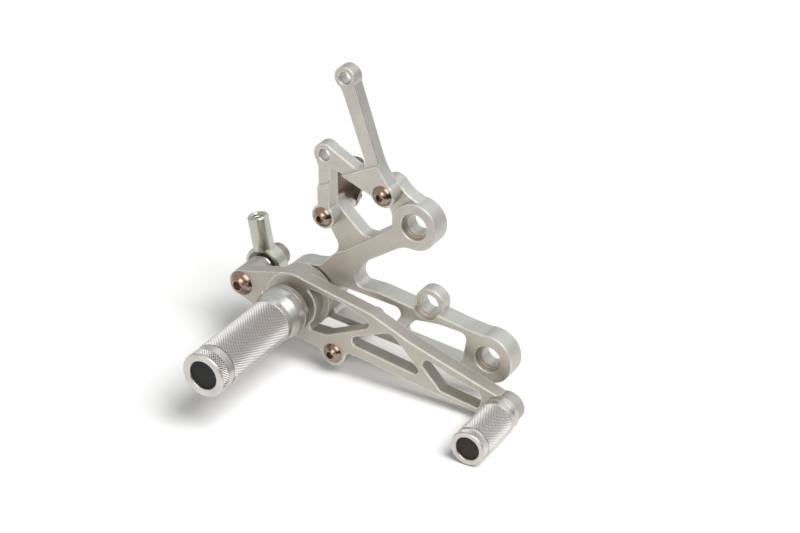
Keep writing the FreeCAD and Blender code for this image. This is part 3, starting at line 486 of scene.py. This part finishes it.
class BandTree:
    """The geometry tree of a turned band: a closed ring whose outside carries a cut pattern.

    The ring stands on the XY plane with its axis along +Z, and is then turned and moved to its place.
    """

    DIAMOND_STEPS = 4  # grid steps from one crest to the next, around and along
    CREST_SHARE = 0.34  # the share of each ridge that is left blunt, as on a shallow knurl

    def __init__(self, cut: Cut) -> None:
        """Build the tree for one pattern."""
        self.tree = bpy.data.node_groups.new("band_" + cut.name.lower(), "GeometryNodeTree")
        self.sockets: dict[str, str] = {}
        for name, kind in (("Radius", "NodeSocketFloat"), ("Cut Depth", "NodeSocketFloat"),
                           ("Back Radius", "NodeSocketFloat"), ("Length", "NodeSocketFloat"),
                           ("Steps Around", "NodeSocketInt"), ("Steps Along", "NodeSocketInt"),
                           ("Turns", "NodeSocketFloat"), ("Place", "NodeSocketVector"),
                           ("Turn", "NodeSocketRotation"), ("Finish", "NodeSocketMaterial")):
            socket = self.tree.interface.new_socket(name, in_out="INPUT", socket_type=kind)
            self.sockets[name] = socket.identifier
        self.tree.interface.new_socket("Geometry", in_out="OUTPUT", socket_type="NodeSocketGeometry")
        self.source = self.tree.nodes.new("NodeGroupInput").outputs
        self.wire(cut)

    def math(self, operation: str, first: object, second: object = 0.0) -> Node:
        """Add a Math node; each value is a node, a socket or a number."""
        return add(self.tree, "ShaderNodeMath", {"operation": operation}, {0: first, 1: second})

    def ridge(self, steps: Node) -> Node:
        """Give the distance from one wheel's nearest ridge, from 0 on it to 1 in the groove."""
        phase = self.math("DIVIDE", steps, float(self.DIAMOND_STEPS))
        return self.math("MULTIPLY", self.math("PINGPONG", phase, 0.5), 2.0)

    def height(self, cut: Cut, column: Node, row: Node) -> Node:
        """Give how deep the pattern is cut at each point, from 0 at a crest to 1 at a root.

        Args:
            cut: The pattern.
            column: The step around the ring.
            row: The step along it.

        Returns:
            The node that gives the depth.
        """
        if cut is Cut.KNURL:
            rising = self.ridge(self.math("ADD", column, row))
            falling = self.ridge(self.math("SUBTRACT", column, row))
            return add(self.tree, "ShaderNodeMapRange", None, {
                "Value": self.math("MAXIMUM", rising, falling), "From Min": self.CREST_SHARE,
                "From Max": 1.0, "To Min": 0.0, "To Max": 1.0})
        along = self.math("MULTIPLY", self.math("DIVIDE", row, self.source["Steps Along"]),
                          self.source["Turns"])
        around = self.math("DIVIDE", column, self.source["Steps Around"])
        phase = self.math("SUBTRACT", along, around)
        return self.math("MULTIPLY", self.math("PINGPONG", phase, 0.5), 2.0)

    def wire(self, cut: Cut) -> None:
        """Link the grid, the pattern and the finish."""
        source = self.source
        tree = self.tree
        wide = self.math("ADD", source["Steps Along"], 3.0)
        grid = add(tree, "GeometryNodeMeshGrid", None, {
            "Size X": source["Steps Around"], "Size Y": wide,
            "Vertices X": self.math("ADD", source["Steps Around"], 1.0),
            "Vertices Y": self.math("ADD", wide, 1.0)})
        spot = add(tree, "ShaderNodeSeparateXYZ", None, {0: add(tree, "GeometryNodeInputPosition")})
        half = self.math("MULTIPLY", source["Steps Around"], 0.5)
        column = self.math("ROUND", self.math("ADD", spot.outputs[0], half))
        place = self.math("ROUND", self.math("ADD", spot.outputs[1], self.math("MULTIPLY", wide, 0.5)))
        row = self.math("SUBTRACT", place, 1.0)
        beyond = self.math("GREATER_THAN", row, self.math("ADD", source["Steps Along"], 0.5))
        back = self.math("MAXIMUM", self.math("LESS_THAN", row, -0.5), beyond)
        last = self.math("GREATER_THAN", row, self.math("SUBTRACT", source["Steps Along"], 0.5))
        rim = self.math("MAXIMUM", self.math("LESS_THAN", row, 0.5), last)
        depth = self.math("MAXIMUM", self.height(cut, column, row), rim)
        front = self.math("SUBTRACT", source["Radius"],
                          self.math("MULTIPLY", depth, source["Cut Depth"]))
        radius = add(tree, "GeometryNodeSwitch", {"input_type": "FLOAT"}, {
            0: self.math("GREATER_THAN", back, 0.5), 1: front, 2: source["Back Radius"]})
        share = add(tree, "ShaderNodeClamp", None, {
            "Value": self.math("DIVIDE", row, source["Steps Along"])})
        home = self.math("GREATER_THAN", row, self.math("ADD", source["Steps Along"], 1.5))
        reach = self.math("MULTIPLY", self.math("MULTIPLY", share, source["Length"]),
                          self.math("SUBTRACT", 1.0, home))
        angle = self.math("MULTIPLY", self.math("DIVIDE", column, source["Steps Around"]), math.tau)
        point = add(tree, "ShaderNodeCombineXYZ", None, {
            0: self.math("MULTIPLY", radius, self.math("COSINE", angle)),
            1: self.math("MULTIPLY", radius, self.math("SINE", angle)), 2: reach})
        ring = add(tree, "GeometryNodeSetPosition", None, {"Geometry": grid, "Position": point})
        whole = add(tree, "GeometryNodeMergeByDistance", None, {"Geometry": ring, "Distance": 1e-6})
        facets = add(tree, "GeometryNodeTriangulate", {
            "quad_method": "SHORTEST_DIAGONAL"}, {"Mesh": whole})
        placed = add(tree, "GeometryNodeTransform", None, {
            "Geometry": facets, "Translation": source["Place"], "Rotation": source["Turn"]})
        plain = add(tree, "GeometryNodeRealizeInstances", None, {"Geometry": placed})
        dressed = add(tree, "GeometryNodeSetMaterial", None, {
            "Geometry": plain, "Material": source["Finish"]})
        add(tree, "NodeGroupOutput", None, {0: dressed})


@dataclass
class Band:
    """One turned band with a cut pattern, in metres and steps."""

    radius: float
    cut_depth: float
    back_radius: float
    length: float
    steps_around: int
    steps_along: int
    place: Vector
    turn: Euler
    turns: float = 1.0

    def mesh(self, name: str, tree: BandTree, material: Material) -> Mesh:
        """Run the tree and keep its result as a plain mesh.

        Args:
            name: The mesh's name.
            tree: The pattern's geometry tree.
            material: The finish of the band.

        Returns:
            The mesh, with its place in it and its faces outwards.
        """
        carrier = bpy.data.objects.new(name, bpy.data.meshes.new(name + "_seed"))
        bpy.context.scene.collection.objects.link(carrier)
        nodes = carrier.modifiers.new("band", "NODES")
        nodes.node_group = tree.tree
        values = {"Radius": self.radius, "Cut Depth": self.cut_depth, "Back Radius": self.back_radius,
                  "Length": self.length, "Steps Around": self.steps_around,
                  "Steps Along": self.steps_along, "Turns": self.turns, "Place": self.place,
                  "Turn": self.turn, "Finish": material}
        for socket, value in values.items():
            nodes[tree.sockets[socket]] = value
        graph = bpy.context.evaluated_depsgraph_get()
        mesh = bpy.data.meshes.new_from_object(carrier.evaluated_get(graph), depsgraph=graph)
        bpy.data.objects.remove(carrier)
        return mesh


def softened(profile: list[Corner], radius: float, support: float = 0.1) -> list[Corner]:
    """Round the corners of a closed profile with short arcs.

    Args:
        profile: Corners (depth, radius) in millimetres.
        radius: How far each arc reaches from its corner.
        support: How far beyond the arc a further point keeps the flat's shading flat.

    Returns:
        The rounded profile.
    """
    rounded: list[Corner] = []
    for index, corner in enumerate(profile):
        here = Vector(corner)
        before = Vector(profile[index - 1])
        after = Vector(profile[(index + 1) % len(profile)])
        reach = min(radius, (before - here).length * 0.45, (after - here).length * 0.45)
        start = here + (before - here).normalized() * reach
        end = here + (after - here).normalized() * reach
        spots = [start + (start - here) * support]
        for share in (0.0, 0.25, 0.5, 0.75, 1.0):
            spots.append(start * (1 - share) ** 2 + here * 2 * share * (1 - share) + end * share ** 2)
        spots.append(end + (end - here) * support)
        rounded += [(spot.x, spot.y) for spot in spots]
    return rounded


def turned_shell(name: str, profile: list[Corner], centre: Vector, segments: int) -> Mesh:
    """Turn a closed profile about an axis along the depth direction.

    Args:
        name: The mesh's name.
        profile: Corners (depth, radius) in millimetres, depth measured along -Y.
        centre: A point of the axis, in metres.
        segments: Flats around the axis.

    Returns:
        A closed, smooth mesh with sharp edges kept.
    """
    shell = bmesh.new()
    rings = []
    for depth, radius in profile:
        ring = []
        for step in range(segments):
            angle = math.tau * step / segments
            ring.append(shell.verts.new((
                centre.x + radius * MM * math.cos(angle), -depth * MM,
                centre.z + radius * MM * math.sin(angle))))
        rings.append(ring)
    for index, ring in enumerate(rings):
        following = rings[(index + 1) % len(rings)]
        for step in range(segments):
            onward = (step + 1) % segments
            shell.faces.new((ring[step], ring[onward], following[onward], following[step]))
    bmesh.ops.recalc_face_normals(shell, faces=shell.faces)
    for face in shell.faces:
        face.smooth = True
    mesh = bpy.data.meshes.new(name)
    shell.to_mesh(mesh)
    shell.free()
    mesh.set_sharp_from_angle(angle=SHARP_ANGLE)
    return mesh


def joined_piece(name: str, parts: list[tuple[Mesh, Material]]) -> Object:
    """Join closed meshes into one piece at the origin, with faces outwards.

    Args:
        name: The piece's name.
        parts: The meshes, each with its place in it, and each one's finish.

    Returns:
        The piece's object.
    """
    whole = bmesh.new()
    finishes: list[Material] = []
    for mesh, finish in parts:
        if finish not in finishes:
            finishes.append(finish)
        before = len(whole.faces)
        whole.from_mesh(mesh)
        whole.faces.ensure_lookup_table()
        fresh = whole.faces[before:]
        bmesh.ops.recalc_face_normals(whole, faces=fresh)
        for face in fresh:
            face.material_index = finishes.index(finish)
        bpy.data.meshes.remove(mesh)
    result = bpy.data.meshes.new(name)
    whole.to_mesh(result)
    whole.free()
    for finish in finishes:
        result.materials.append(finish)
    piece = bpy.data.objects.new(name, result)
    bpy.context.scene.collection.objects.link(piece)
    return piece


class SubAssembly:
    """What each sub-assembly shares: dressing CAD nodes and reporting the pieces it adds."""

    def dress(self, finishes: dict[str, Material]) -> None:
        """Give CAD nodes their finishes through their objects' own slots.

        Args:
            finishes: A material for each node's name.
        """
        for name, material in finishes.items():
            for slot in frame["nodes"][name].material_slots:
                slot.link = "OBJECT"
                slot.material = material
            LOG.info("dressed %s with %s", name, material.name)

    def carry(self, piece: Object, body: str, slot: str, *stands_for: str) -> None:
        """Make a new piece ride on a body and stand for CAD nodes.

        Args:
            piece: The new piece.
            body: The CAD body that carries it.
            slot: The record's material slot; not used.
            stands_for: The CAD nodes that it replaces.
        """
        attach(piece, body)
        if stands_for:
            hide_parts(*stands_for)
        LOG.info("built %s with %d faces on %s", piece.name, len(piece.data.polygons), body)


@dataclass(frozen=True)
class Grip:
    """One knurled band of a bar: where it runs, in millimetres of depth, and its diamonds."""

    start: float
    end: float
    around: int
    along: int


@dataclass(frozen=True)
class KnurledBar:
    """A turned bar with a bore and knurled bands, in millimetres of depth and radius."""

    name: str
    head: tuple[Corner, ...]
    front: float
    radius: float
    groove_radius: float
    bore: float
    floor: float
    screw_bore: float
    grips: tuple[Grip, ...]
    cut_depth: float
    rim: float = 1.0
    chamfer: float = 0.5
    under_cut: float = 0.12
    run_out: float = 0.2
    softening: float = 0.2

    def section(self) -> list[Corner]:
        """Give the bar's closed section, whose knurled bands are left a little low.

        Returns:
            Corners of (depth, radius).
        """
        under = self.radius - self.cut_depth - self.under_cut
        corners = list(self.head)
        plain = self.radius
        for grip in self.grips:
            corners += [(grip.start, plain), (grip.start + self.run_out, under),
                        (grip.end - self.run_out, under)]
            plain = self.groove_radius
            if grip is not self.grips[-1]:
                corners.append((grip.end, plain))
        return corners + [
            (self.grips[-1].end, self.radius - self.rim * 0.05),
            (self.front - self.rim * 0.3, self.radius - self.rim * 0.25),
            (self.front, self.radius - self.rim * 0.8), (self.front, self.bore + self.chamfer),
            (self.front - self.chamfer, self.bore), (self.floor, self.bore),
            (self.floor, self.screw_bore),
        ]

    def band(self, grip: Grip, centre: Vector) -> Band:
        """Size the ring that carries one knurled band.

        Args:
            grip: The band's place and diamonds.
            centre: A point of the bar's axis.

        Returns:
            The ring's sizes.
        """
        return Band(
            radius=self.radius * MM, cut_depth=self.cut_depth * MM,
            back_radius=(self.radius - 2 * self.cut_depth) * MM, length=(grip.end - grip.start) * MM,
            steps_around=BandTree.DIAMOND_STEPS * grip.around,
            steps_along=BandTree.DIAMOND_STEPS * grip.along,
            place=Vector((centre.x, -grip.start * MM, centre.z)), turn=Euler((math.pi / 2, 0.0, 0.0)))

    def build(self, knurl: BandTree, centre: Vector, plain: Material,
              rough: Material) -> Object:
        """Build the bar as one piece.

        Args:
            knurl: The knurl's geometry tree.
            centre: A point of the bar's axis.
            plain: The finish of the turned surfaces.
            rough: The finish of the knurled bands.

        Returns:
            The bar's object.
        """
        segments = 2 * max(grip.around for grip in self.grips)
        section = softened(self.section(), self.softening)
        core = turned_shell(self.name + "_core", section, centre, segments)
        bands = [(self.band(grip, centre).mesh(self.name + "_grip", knurl, rough), rough)
                 for grip in self.grips]
        return joined_piece(self.name, [(core, plain)] + bands)


@dataclass
class PegAssembly(SubAssembly):
    """The footpeg's stack on the pivot: knurled bar, collar, washers, spindle, screw and plug."""

    knurl: BandTree
    bar: KnurledBar = KnurledBar(
        name="footpeg_bar",
        head=((35.8, 4.25), (35.8, 13.2), (36.5, 14.0), (40.7, 14.0), (46.0, 12.3)),
        front=109.5, radius=12.3, groove_radius=11.9, bore=7.9, floor=50.1, screw_bore=4.25,
        grips=(Grip(49.2, 98.5, 75, 30), Grip(103.2, 108.5, 54, 3)), cut_depth=0.42)

    def build(self) -> None:
        """Build the knurled bar and dress the rest of the stack."""
        centre = centre_of("footpeg")
        axis = (centre.x, centre.z)
        plain = TurnedMetal("turned_peg_aluminium", "#d2cfca", 0.32, axis=axis).make()
        rough = KnurledAluminium("knurled_peg_aluminium", "#f2efea", 0.33, axis=axis).make()
        ring = TurnedMetal("turned_collar_aluminium", "#aca8a3", 0.38, axis=axis).make()
        steel = TurnedMetal("turned_washer_steel", "#a39b92", 0.28, axis=axis).make()
        bush = SinteredBronze("sintered_bush_bronze", "#a8845a", 0.38).make()
        black = PlatedSteel("blackened_screw_steel", "#26262a", 0.36, drift_colour="#1c1c1e",
                            edge_colour="#55555a").make()
        plug = MouldedPlastic("moulded_dark_nylon", "#1b1b19", 0.5, light_colour="#252522").make()
        self.carry(self.bar.build(self.knurl, centre, plain, rough), "plate", "peg_aluminium", "footpeg")
        self.dress({"peg_collar": ring, "neck_washer": steel, "thrust_washer": steel,
                    "pivot_spindle": steel, "pedal_bush": bush, "footpeg_screw": black,
                    "footpeg_plug": plug})


@dataclass
class ToeAssembly(SubAssembly):
    """The toe peg on the pedal's end: knurled bar, washer, screw and plug."""

    knurl: BandTree
    bar: KnurledBar = KnurledBar(
        name="toe_peg_bar",
        head=((30.4, 3.25), (30.4, 9.0), (30.85, 9.5)),
        front=64.4, radius=9.5, groove_radius=9.2, bore=6.4, floor=38.4, screw_bore=3.25,
        grips=(Grip(34.0, 58.4, 62, 15), Grip(60.1, 63.5, 56, 3)), cut_depth=0.38, rim=0.8)

    def build(self) -> None:
        """Build the knurled toe bar and dress its washer, screw and plug."""
        centre = centre_of("toe_peg")
        axis = (centre.x, centre.z)
        plain = TurnedMetal("turned_toe_aluminium", "#d0ccc5", 0.3, axis=axis).make()
        rough = KnurledAluminium("knurled_toe_aluminium", "#f6f3ee", 0.33, axis=axis, crest_mm=9.5,
                                 cut_mm=0.38).make()
        black = PlatedSteel("blackened_toe_screw", "#26262a", 0.36, drift_colour="#1c1c1e",
                            edge_colour="#55555a").make()
        plug = MouldedPlastic("moulded_brown_nylon", "#2c211c", 0.5, light_colour="#382b25").make()
        self.carry(self.bar.build(self.knurl, centre, plain, rough), "pedal", "peg_aluminium", "toe_peg")
        self.dress({"toe_peg_washer": plain, "toe_peg_screw": black, "toe_peg_plug": plug})


@dataclass
class PlateAssembly(SubAssembly):
    """The machined plate with its post's stop side, and the pedal that turns on it."""

    def build(self) -> None:
        """Dress the plate, the pedal and the post."""
        plate = MilledAluminium("milled_plate_aluminium", "#d0ccc4", 0.48).make()
        pedal = MilledAluminium("milled_pedal_aluminium", "#c2bdb5", 0.62, stroke_turn=-24.0).make()
        post = centre_of("post_sleeve")
        sleeve = TurnedMetal("turned_sleeve_aluminium", "#c0b9ae", 0.3, axis=(post.x, post.z)).make()
        self.dress({"main_plate": plate, "brake_pedal": pedal, "post_sleeve": sleeve})


@dataclass
class FastenerAssembly(SubAssembly):
    """The button-head screws, their nuts and the thread that shows behind the switch tab."""

    thread: BandTree
    thread_radius: float = 3.0
    thread_depth: float = 0.55
    wall: float = 0.3  # the ring's thickness under the thread's root
    pitch: float = 1.0
    tail: float = 1.5
    gap: float = 0.4  # the plain tip beyond the thread

    def build(self) -> None:
        """Dress the bronzed screws and cut the thread of the tail behind the tab's nut."""
        bronzed = PlatedSteel(
            "bronzed_polished_screw", "#948276", 0.15, drift_colour="#a08c7f", edge_colour="#d9ccc0",
            pit_depth_mm=0.003).make()
        satin = PlatedSteel(
            "bronzed_satin_nut", "#9a8c84", 0.4, drift_colour="#a3958c", edge_colour="#c3b8b0").make()
        sheet = PlatedSteel(
            "bronzed_satin_sheet", "#73645b", 0.36, drift_colour="#7f7066", edge_colour="#a08f83",
            drift_mm=6.0).make()
        self.dress({
            "rod_end_bolt": bronzed, "post_screw": bronzed, "rear_bracket_screw": bronzed,
            "front_bracket_screw": bronzed, "tab_nut": bronzed, "rod_end_nut": satin,
            "post_nut": satin, "switch_tab": sheet})
        low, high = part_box("rear_bracket_screw")
        middle = (low + high) / 2
        band = Band(
            radius=self.thread_radius * MM, cut_depth=self.thread_depth * MM,
            back_radius=(self.thread_radius - self.thread_depth - self.wall) * MM,
            length=(self.tail - self.gap) * MM, steps_around=36, steps_along=12,
            place=Vector((middle.x, high.y - self.gap * MM, middle.z)),
            turn=Euler((math.pi / 2, 0.0, 0.0)), turns=(self.tail - self.gap) / self.pitch)
        thread = band.mesh("tail_thread", self.thread, bronzed)
        piece = joined_piece("screw_thread_tail", [(thread, bronzed)])
        self.carry(piece, "plate", "bronzed_screw")


@dataclass
class RodEndAssembly(SubAssembly):
    """The rod end on the short arm: zinc-plated eye and shank, liner race, ball and inner thread."""

    thread: BandTree
    pitch: float = 1.25
    crest: float = 0.5
    wall: float = 0.25
    sink: float = 0.02  # how far the ring's roots reach into the bore's wall
    plain: float = 2.0  # the part of the bore's depth without thread
    mouth: float = 3.2  # how far the thread runs out past the mount's point

    def build(self) -> None:
        """Dress the rod end and cut the thread inside its shank."""
        zinc = PlatedSteel(
            "zinc_plated_steel", "#b2b5aa", 0.2, drift_colour="#bcbcae", drift_mm=5.0,
            pit_depth_mm=0.004, edge_colour="#f4f4ea").make()
        ball = PlatedSteel("polished_ball_steel", "#c2c2bf", 0.1, pit_depth_mm=0.001).make()
        race = PlatedSteel("drawn_race_steel", "#7d7f78", 0.34, drift_colour="#6c6e68").make()
        self.dress({"rod_end_housing": zinc, "rod_end_ball": ball, "rod_end_race": race})
        mount = next(entry for entry in frame["record"]["mounts"] if entry["name"] == "push_rod_thread")
        along = Vector(mount["axis"]).normalized()
        radius = mount["dims"]["r_mm"]
        length = mount["dims"]["length_mm"] - self.plain
        foot = Vector(mount["pos_m"]) + along * (self.mouth - length) * MM
        band = Band(
            radius=(radius + self.sink) * MM, cut_depth=self.crest * MM,
            back_radius=(radius + self.wall) * MM, length=length * MM, steps_around=36,
            steps_along=8 * round(length / self.pitch), place=foot,
            turn=along.to_track_quat("Z", "Y").to_euler(), turns=length / self.pitch)
        thread = band.mesh("shank_thread", self.thread, zinc)
        piece = joined_piece("shank_inner_thread", [(thread, zinc)])
        self.carry(piece, "rod_eye", "zinc_steel")


@dataclass
class BracketAssembly(SubAssembly):
    """The two-armed cylinder bracket and the spacer behind it."""

    def build(self) -> None:
        """Dress the bracket and the spacer."""
        bracket = MilledAluminium("milled_bracket_aluminium", "#d0cbc4", 0.46, stroke_turn=72.0).make()
        spot = centre_of("tab_spacer")
        spacer = TurnedMetal("turned_spacer_aluminium", "#c6bfb4", 0.3, axis=(spot.x, spot.z)).make()
        self.dress({"upper_bracket": bracket, "tab_spacer": spacer})


@dataclass(frozen=True)
class Lobe:
    """A soft patch of the surroundings that only reflections see."""

    side: Spot  # the direction of its middle
    start: float  # the cosine from the middle at which it begins
    full: float  # the cosine at which it is full
    level: float


@dataclass
class Studio:
    """The pale studio: floor, soft lamp, white surroundings and the photograph's camera."""

    room_level: float = 0.34
    sky_level: float = 0.85
    sky_tint: str = "#eaeff3"
    front: Lobe = Lobe((0.0, -1.0, 0.0), 0.0, 0.8, 0.75)
    front_tint: str = "#fff5ea"
    dark_end: Lobe = Lobe((0.86, -0.51, 0.0), 0.78, 0.95, 0.1)
    windows: tuple[Lobe, ...] = (
        Lobe((0.15, 0.75, 0.64), 0.8, 0.96, 1.4), Lobe((0.56, -0.19, 0.81), 0.82, 0.96, 3.6),
        Lobe((-0.06, -0.96, 0.28), 0.96, 0.985, 4.0))
    floor_height: float = -93.5 * MM
    floor_half: float = 3.0
    floor_colour: str = "#f4f4f3"
    floor_dark_colour: str = "#35322f"
    floor_dark: tuple[float, float] = (0.12, 0.36)  # where reflections see it painted dark, standing in for dark surroundings
    floor_lift: float = 0.03
    floor_far: tuple[float, float] = (0.35, 0.95)  # where it turns white, far from the object
    lamp_place: Spot = (1.75, -0.58, 2.5)
    lamp_aim: Spot = (0.0, -0.03, -0.02)
    lamp_size: float = 2.0
    lamp_watts: float = 124.0
    lens_mm: float = 90.0
    camera_place: Spot = (0.44439, -0.79072, 0.48071)
    camera_aim: Spot = (-0.43793, 0.75421, -0.48927)

    def white_for(self, tree: Tree, *rays: Ray) -> Socket:
        """Find whether a ray is of one of the given kinds: 1 for those and 0 for the others.

        Args:
            tree: The tree that it goes in.
            rays: The ray kinds.

        Returns:
            The socket with that value.
        """
        path = add(tree, "ShaderNodeLightPath")
        share = path.outputs[rays[0].value]
        for ray in rays[1:]:
            share = add(tree, "ShaderNodeMath", {"operation": "ADD", "use_clamp": True}, {
                0: share, 1: path.outputs[ray.value]}).outputs[0]
        return share

    def toward(self, tree: Tree, lobe: Lobe) -> Node:
        """Add a node that is 1 in the middle of a lobe of the surroundings and 0 away from it."""
        sight = add(tree, "ShaderNodeTexCoord")
        agree = add(tree, "ShaderNodeVectorMath", {"operation": "DOT_PRODUCT"}, {
            0: sight.outputs["Generated"], 1: lobe.side})
        return add(tree, "ShaderNodeMapRange", {"interpolation_type": "SMOOTHSTEP"}, {
            "Value": agree.outputs["Value"], "From Min": lobe.start, "From Max": lobe.full,
            "To Min": 0.0, "To Max": 1.0})

    def blend(self, tree: Tree, share: object, first: object, second: object) -> Node:
        """Mix two levels by a share."""
        return add(tree, "ShaderNodeMix", {"data_type": "FLOAT"}, {0: share, 2: first, 3: second})

    def room(self) -> None:
        """Light the room plainly, show it white to the camera and soft and uneven to reflections."""
        world = bpy.data.worlds.new("pale_room")
        world.use_nodes = True
        tree = world.node_tree
        tree.nodes.clear()
        ahead = self.toward(tree, self.front)
        level = self.blend(tree, ahead, self.sky_level, self.front.level)
        for lobe in (self.dark_end, *self.windows):
            level = self.blend(tree, self.toward(tree, lobe), level, lobe.level)
        mirrored = self.white_for(tree, Ray.GLOSSY, Ray.TRANSMISSION)
        unseen = self.blend(tree, mirrored, self.room_level, level)
        level = self.blend(tree, self.white_for(tree, Ray.CAMERA), unseen, 1.0)
        tint = add(tree, "ShaderNodeMix", {"data_type": "RGBA"}, {
            0: ahead, 6: linear(self.sky_tint), 7: linear(self.front_tint)})
        colour = add(tree, "ShaderNodeMix", {"data_type": "RGBA"}, {
            0: self.white_for(tree, Ray.GLOSSY), 6: linear("#ffffff"), 7: tint.outputs[2]})
        back = add(tree, "ShaderNodeBackground", None, {"Color": colour.outputs[2], "Strength": level})
        add(tree, "ShaderNodeOutputWorld", None, {"Surface": back})
        bpy.context.scene.world = world

    def floor(self) -> None:
        """Lay a white floor that keeps the object's soft shadow, painted dark towards the room's dark
        end for reflections only.
        """
        half = self.floor_half
        mesh = bpy.data.meshes.new("studio_floor")
        height = self.floor_height
        mesh.from_pydata([(-half, -half, height), (half, -half, height), (half, half, height),
                          (-half, half, height)], [], [(0, 1, 2, 3)])
        material = bpy.data.materials.new("matt_white_paper")
        material.use_nodes = True
        tree = material.node_tree
        tree.nodes.clear()
        place = add(tree, "ShaderNodeTexCoord")
        beyond = add(tree, "ShaderNodeVectorMath", {"operation": "DOT_PRODUCT"}, {
            0: place.outputs["Object"], 1: self.dark_end.side})
        edge = add(tree, "ShaderNodeMapRange", {"interpolation_type": "SMOOTHSTEP"}, {
            "Value": beyond.outputs["Value"], "From Min": self.floor_dark[0],
            "From Max": self.floor_dark[1], "To Min": 0.0, "To Max": 1.0})
        # painted dark surroundings: the floor turns dark on the dark end's side, seen by reflections
        # only
        painted_dark_share = add(tree, "ShaderNodeMath", {"operation": "MULTIPLY"}, {
            0: edge, 1: self.white_for(tree, Ray.GLOSSY)})
        tone = add(tree, "ShaderNodeMix", {"data_type": "RGBA"}, {
            0: painted_dark_share, 6: linear(self.floor_colour), 7: linear(self.floor_dark_colour)})
        paper = add(tree, "ShaderNodeBsdfDiffuse", None, {"Color": tone.outputs[2]})
        share = self.white_for(tree, Ray.CAMERA, Ray.TRANSMISSION)
        away = add(tree, "ShaderNodeVectorMath", {"operation": "LENGTH"}, {0: place.outputs["Object"]})
        bright = add(tree, "ShaderNodeMapRange", {"interpolation_type": "SMOOTHSTEP"}, {
            "Value": away.outputs["Value"], "From Min": self.floor_far[0],
            "From Max": self.floor_far[1], "To Min": self.floor_lift, "To Max": 1.0})
        lift = add(tree, "ShaderNodeMath", {"operation": "MULTIPLY"}, {0: share, 1: bright})
        glow = add(tree, "ShaderNodeEmission", None, {"Strength": lift})
        both = add(tree, "ShaderNodeAddShader", None, {0: paper, 1: glow})
        add(tree, "ShaderNodeOutputMaterial", None, {"Surface": both})
        mesh.materials.append(material)
        floor = bpy.data.objects.new("studio_floor", mesh)
        bpy.context.scene.collection.objects.link(floor)
        self.give_way(floor)

    def give_way(self, floor: Object) -> None:
        """Let the floor sink with the object's lowest point, so that a pressed pedal stays above it.

        Args:
            floor: The floor, whose own height is the one at rest.
        """
        tree = bpy.data.node_groups.new("floor_under_object", "GeometryNodeTree")
        for side in ("INPUT", "OUTPUT"):
            tree.interface.new_socket("Geometry", in_out=side, socket_type="NodeSocketGeometry")
        whole = add(tree, "GeometryNodeJoinGeometry")
        for thing in bpy.context.scene.objects:
            if thing.type == "MESH" and thing is not floor:
                shape = add(tree, "GeometryNodeObjectInfo", {"transform_space": "RELATIVE"}, {
                    "Object": thing})
                tree.links.new(shape.outputs["Geometry"], whole.inputs[0])
        box = add(tree, "GeometryNodeBoundBox", None, {0: whole})
        lowest = add(tree, "ShaderNodeSeparateXYZ", None, {0: box.outputs["Min"]})
        spot = add(tree, "ShaderNodeSeparateXYZ", None, {0: add(tree, "GeometryNodeInputPosition")})
        height = add(tree, "ShaderNodeMath", {"operation": "MINIMUM"}, {
            0: spot.outputs[2], 1: lowest.outputs[2]})
        point = add(tree, "ShaderNodeCombineXYZ", None, {
            0: spot.outputs[0], 1: spot.outputs[1], 2: height})
        sunk = add(tree, "GeometryNodeSetPosition", None, {
            "Geometry": tree.nodes.new("NodeGroupInput"), "Position": point})
        add(tree, "NodeGroupOutput", None, {0: sunk})
        floor.modifiers.new("give_way", "NODES").node_group = tree

    def softbox(self) -> None:
        """Hang the soft lamp; the room's windows stand for it in reflections."""
        light = bpy.data.lights.new("key_softbox", "AREA")
        light.shape = "SQUARE"
        light.size = self.lamp_size
        light.energy = self.lamp_watts
        lamp = bpy.data.objects.new("key_softbox", light)
        lamp.location = self.lamp_place
        lamp.visible_glossy = False
        sight = Vector(self.lamp_aim) - Vector(self.lamp_place)
        lamp.rotation_euler = sight.to_track_quat("-Z", "Y").to_euler()
        bpy.context.scene.collection.objects.link(lamp)

    def camera(self) -> None:
        """Set the camera at the photograph's viewing angle."""
        view = bpy.data.cameras.new("photo_camera")
        view.lens = self.lens_mm
        view.sensor_width = 36.0
        view.clip_start = 0.01
        camera = bpy.data.objects.new("photo_camera", view)
        camera.location = self.camera_place
        camera.rotation_euler = Vector(self.camera_aim).to_track_quat("-Z", "Y").to_euler()
        bpy.context.scene.collection.objects.link(camera)
        bpy.context.scene.camera = camera

    def build(self) -> None:
        """Set up the whole studio."""
        self.room()
        self.floor()
        self.softbox()
        self.camera()
        bpy.context.scene.view_settings.view_transform = "Standard"


def main() -> None:
    """Build each sub-assembly and the studio around them."""
    logging.basicConfig(level=logging.INFO, format="%(name)s: %(message)s")
    knurl = BandTree(Cut.KNURL)
    thread = BandTree(Cut.THREAD)
    for part in (PlateAssembly(), PegAssembly(knurl), ToeAssembly(knurl), FastenerAssembly(thread),
                 RodEndAssembly(thread), BracketAssembly(), Studio()):
        part.build()
        LOG.info("finished %s", type(part).__name__)


if __name__ == "__main__":
    main()
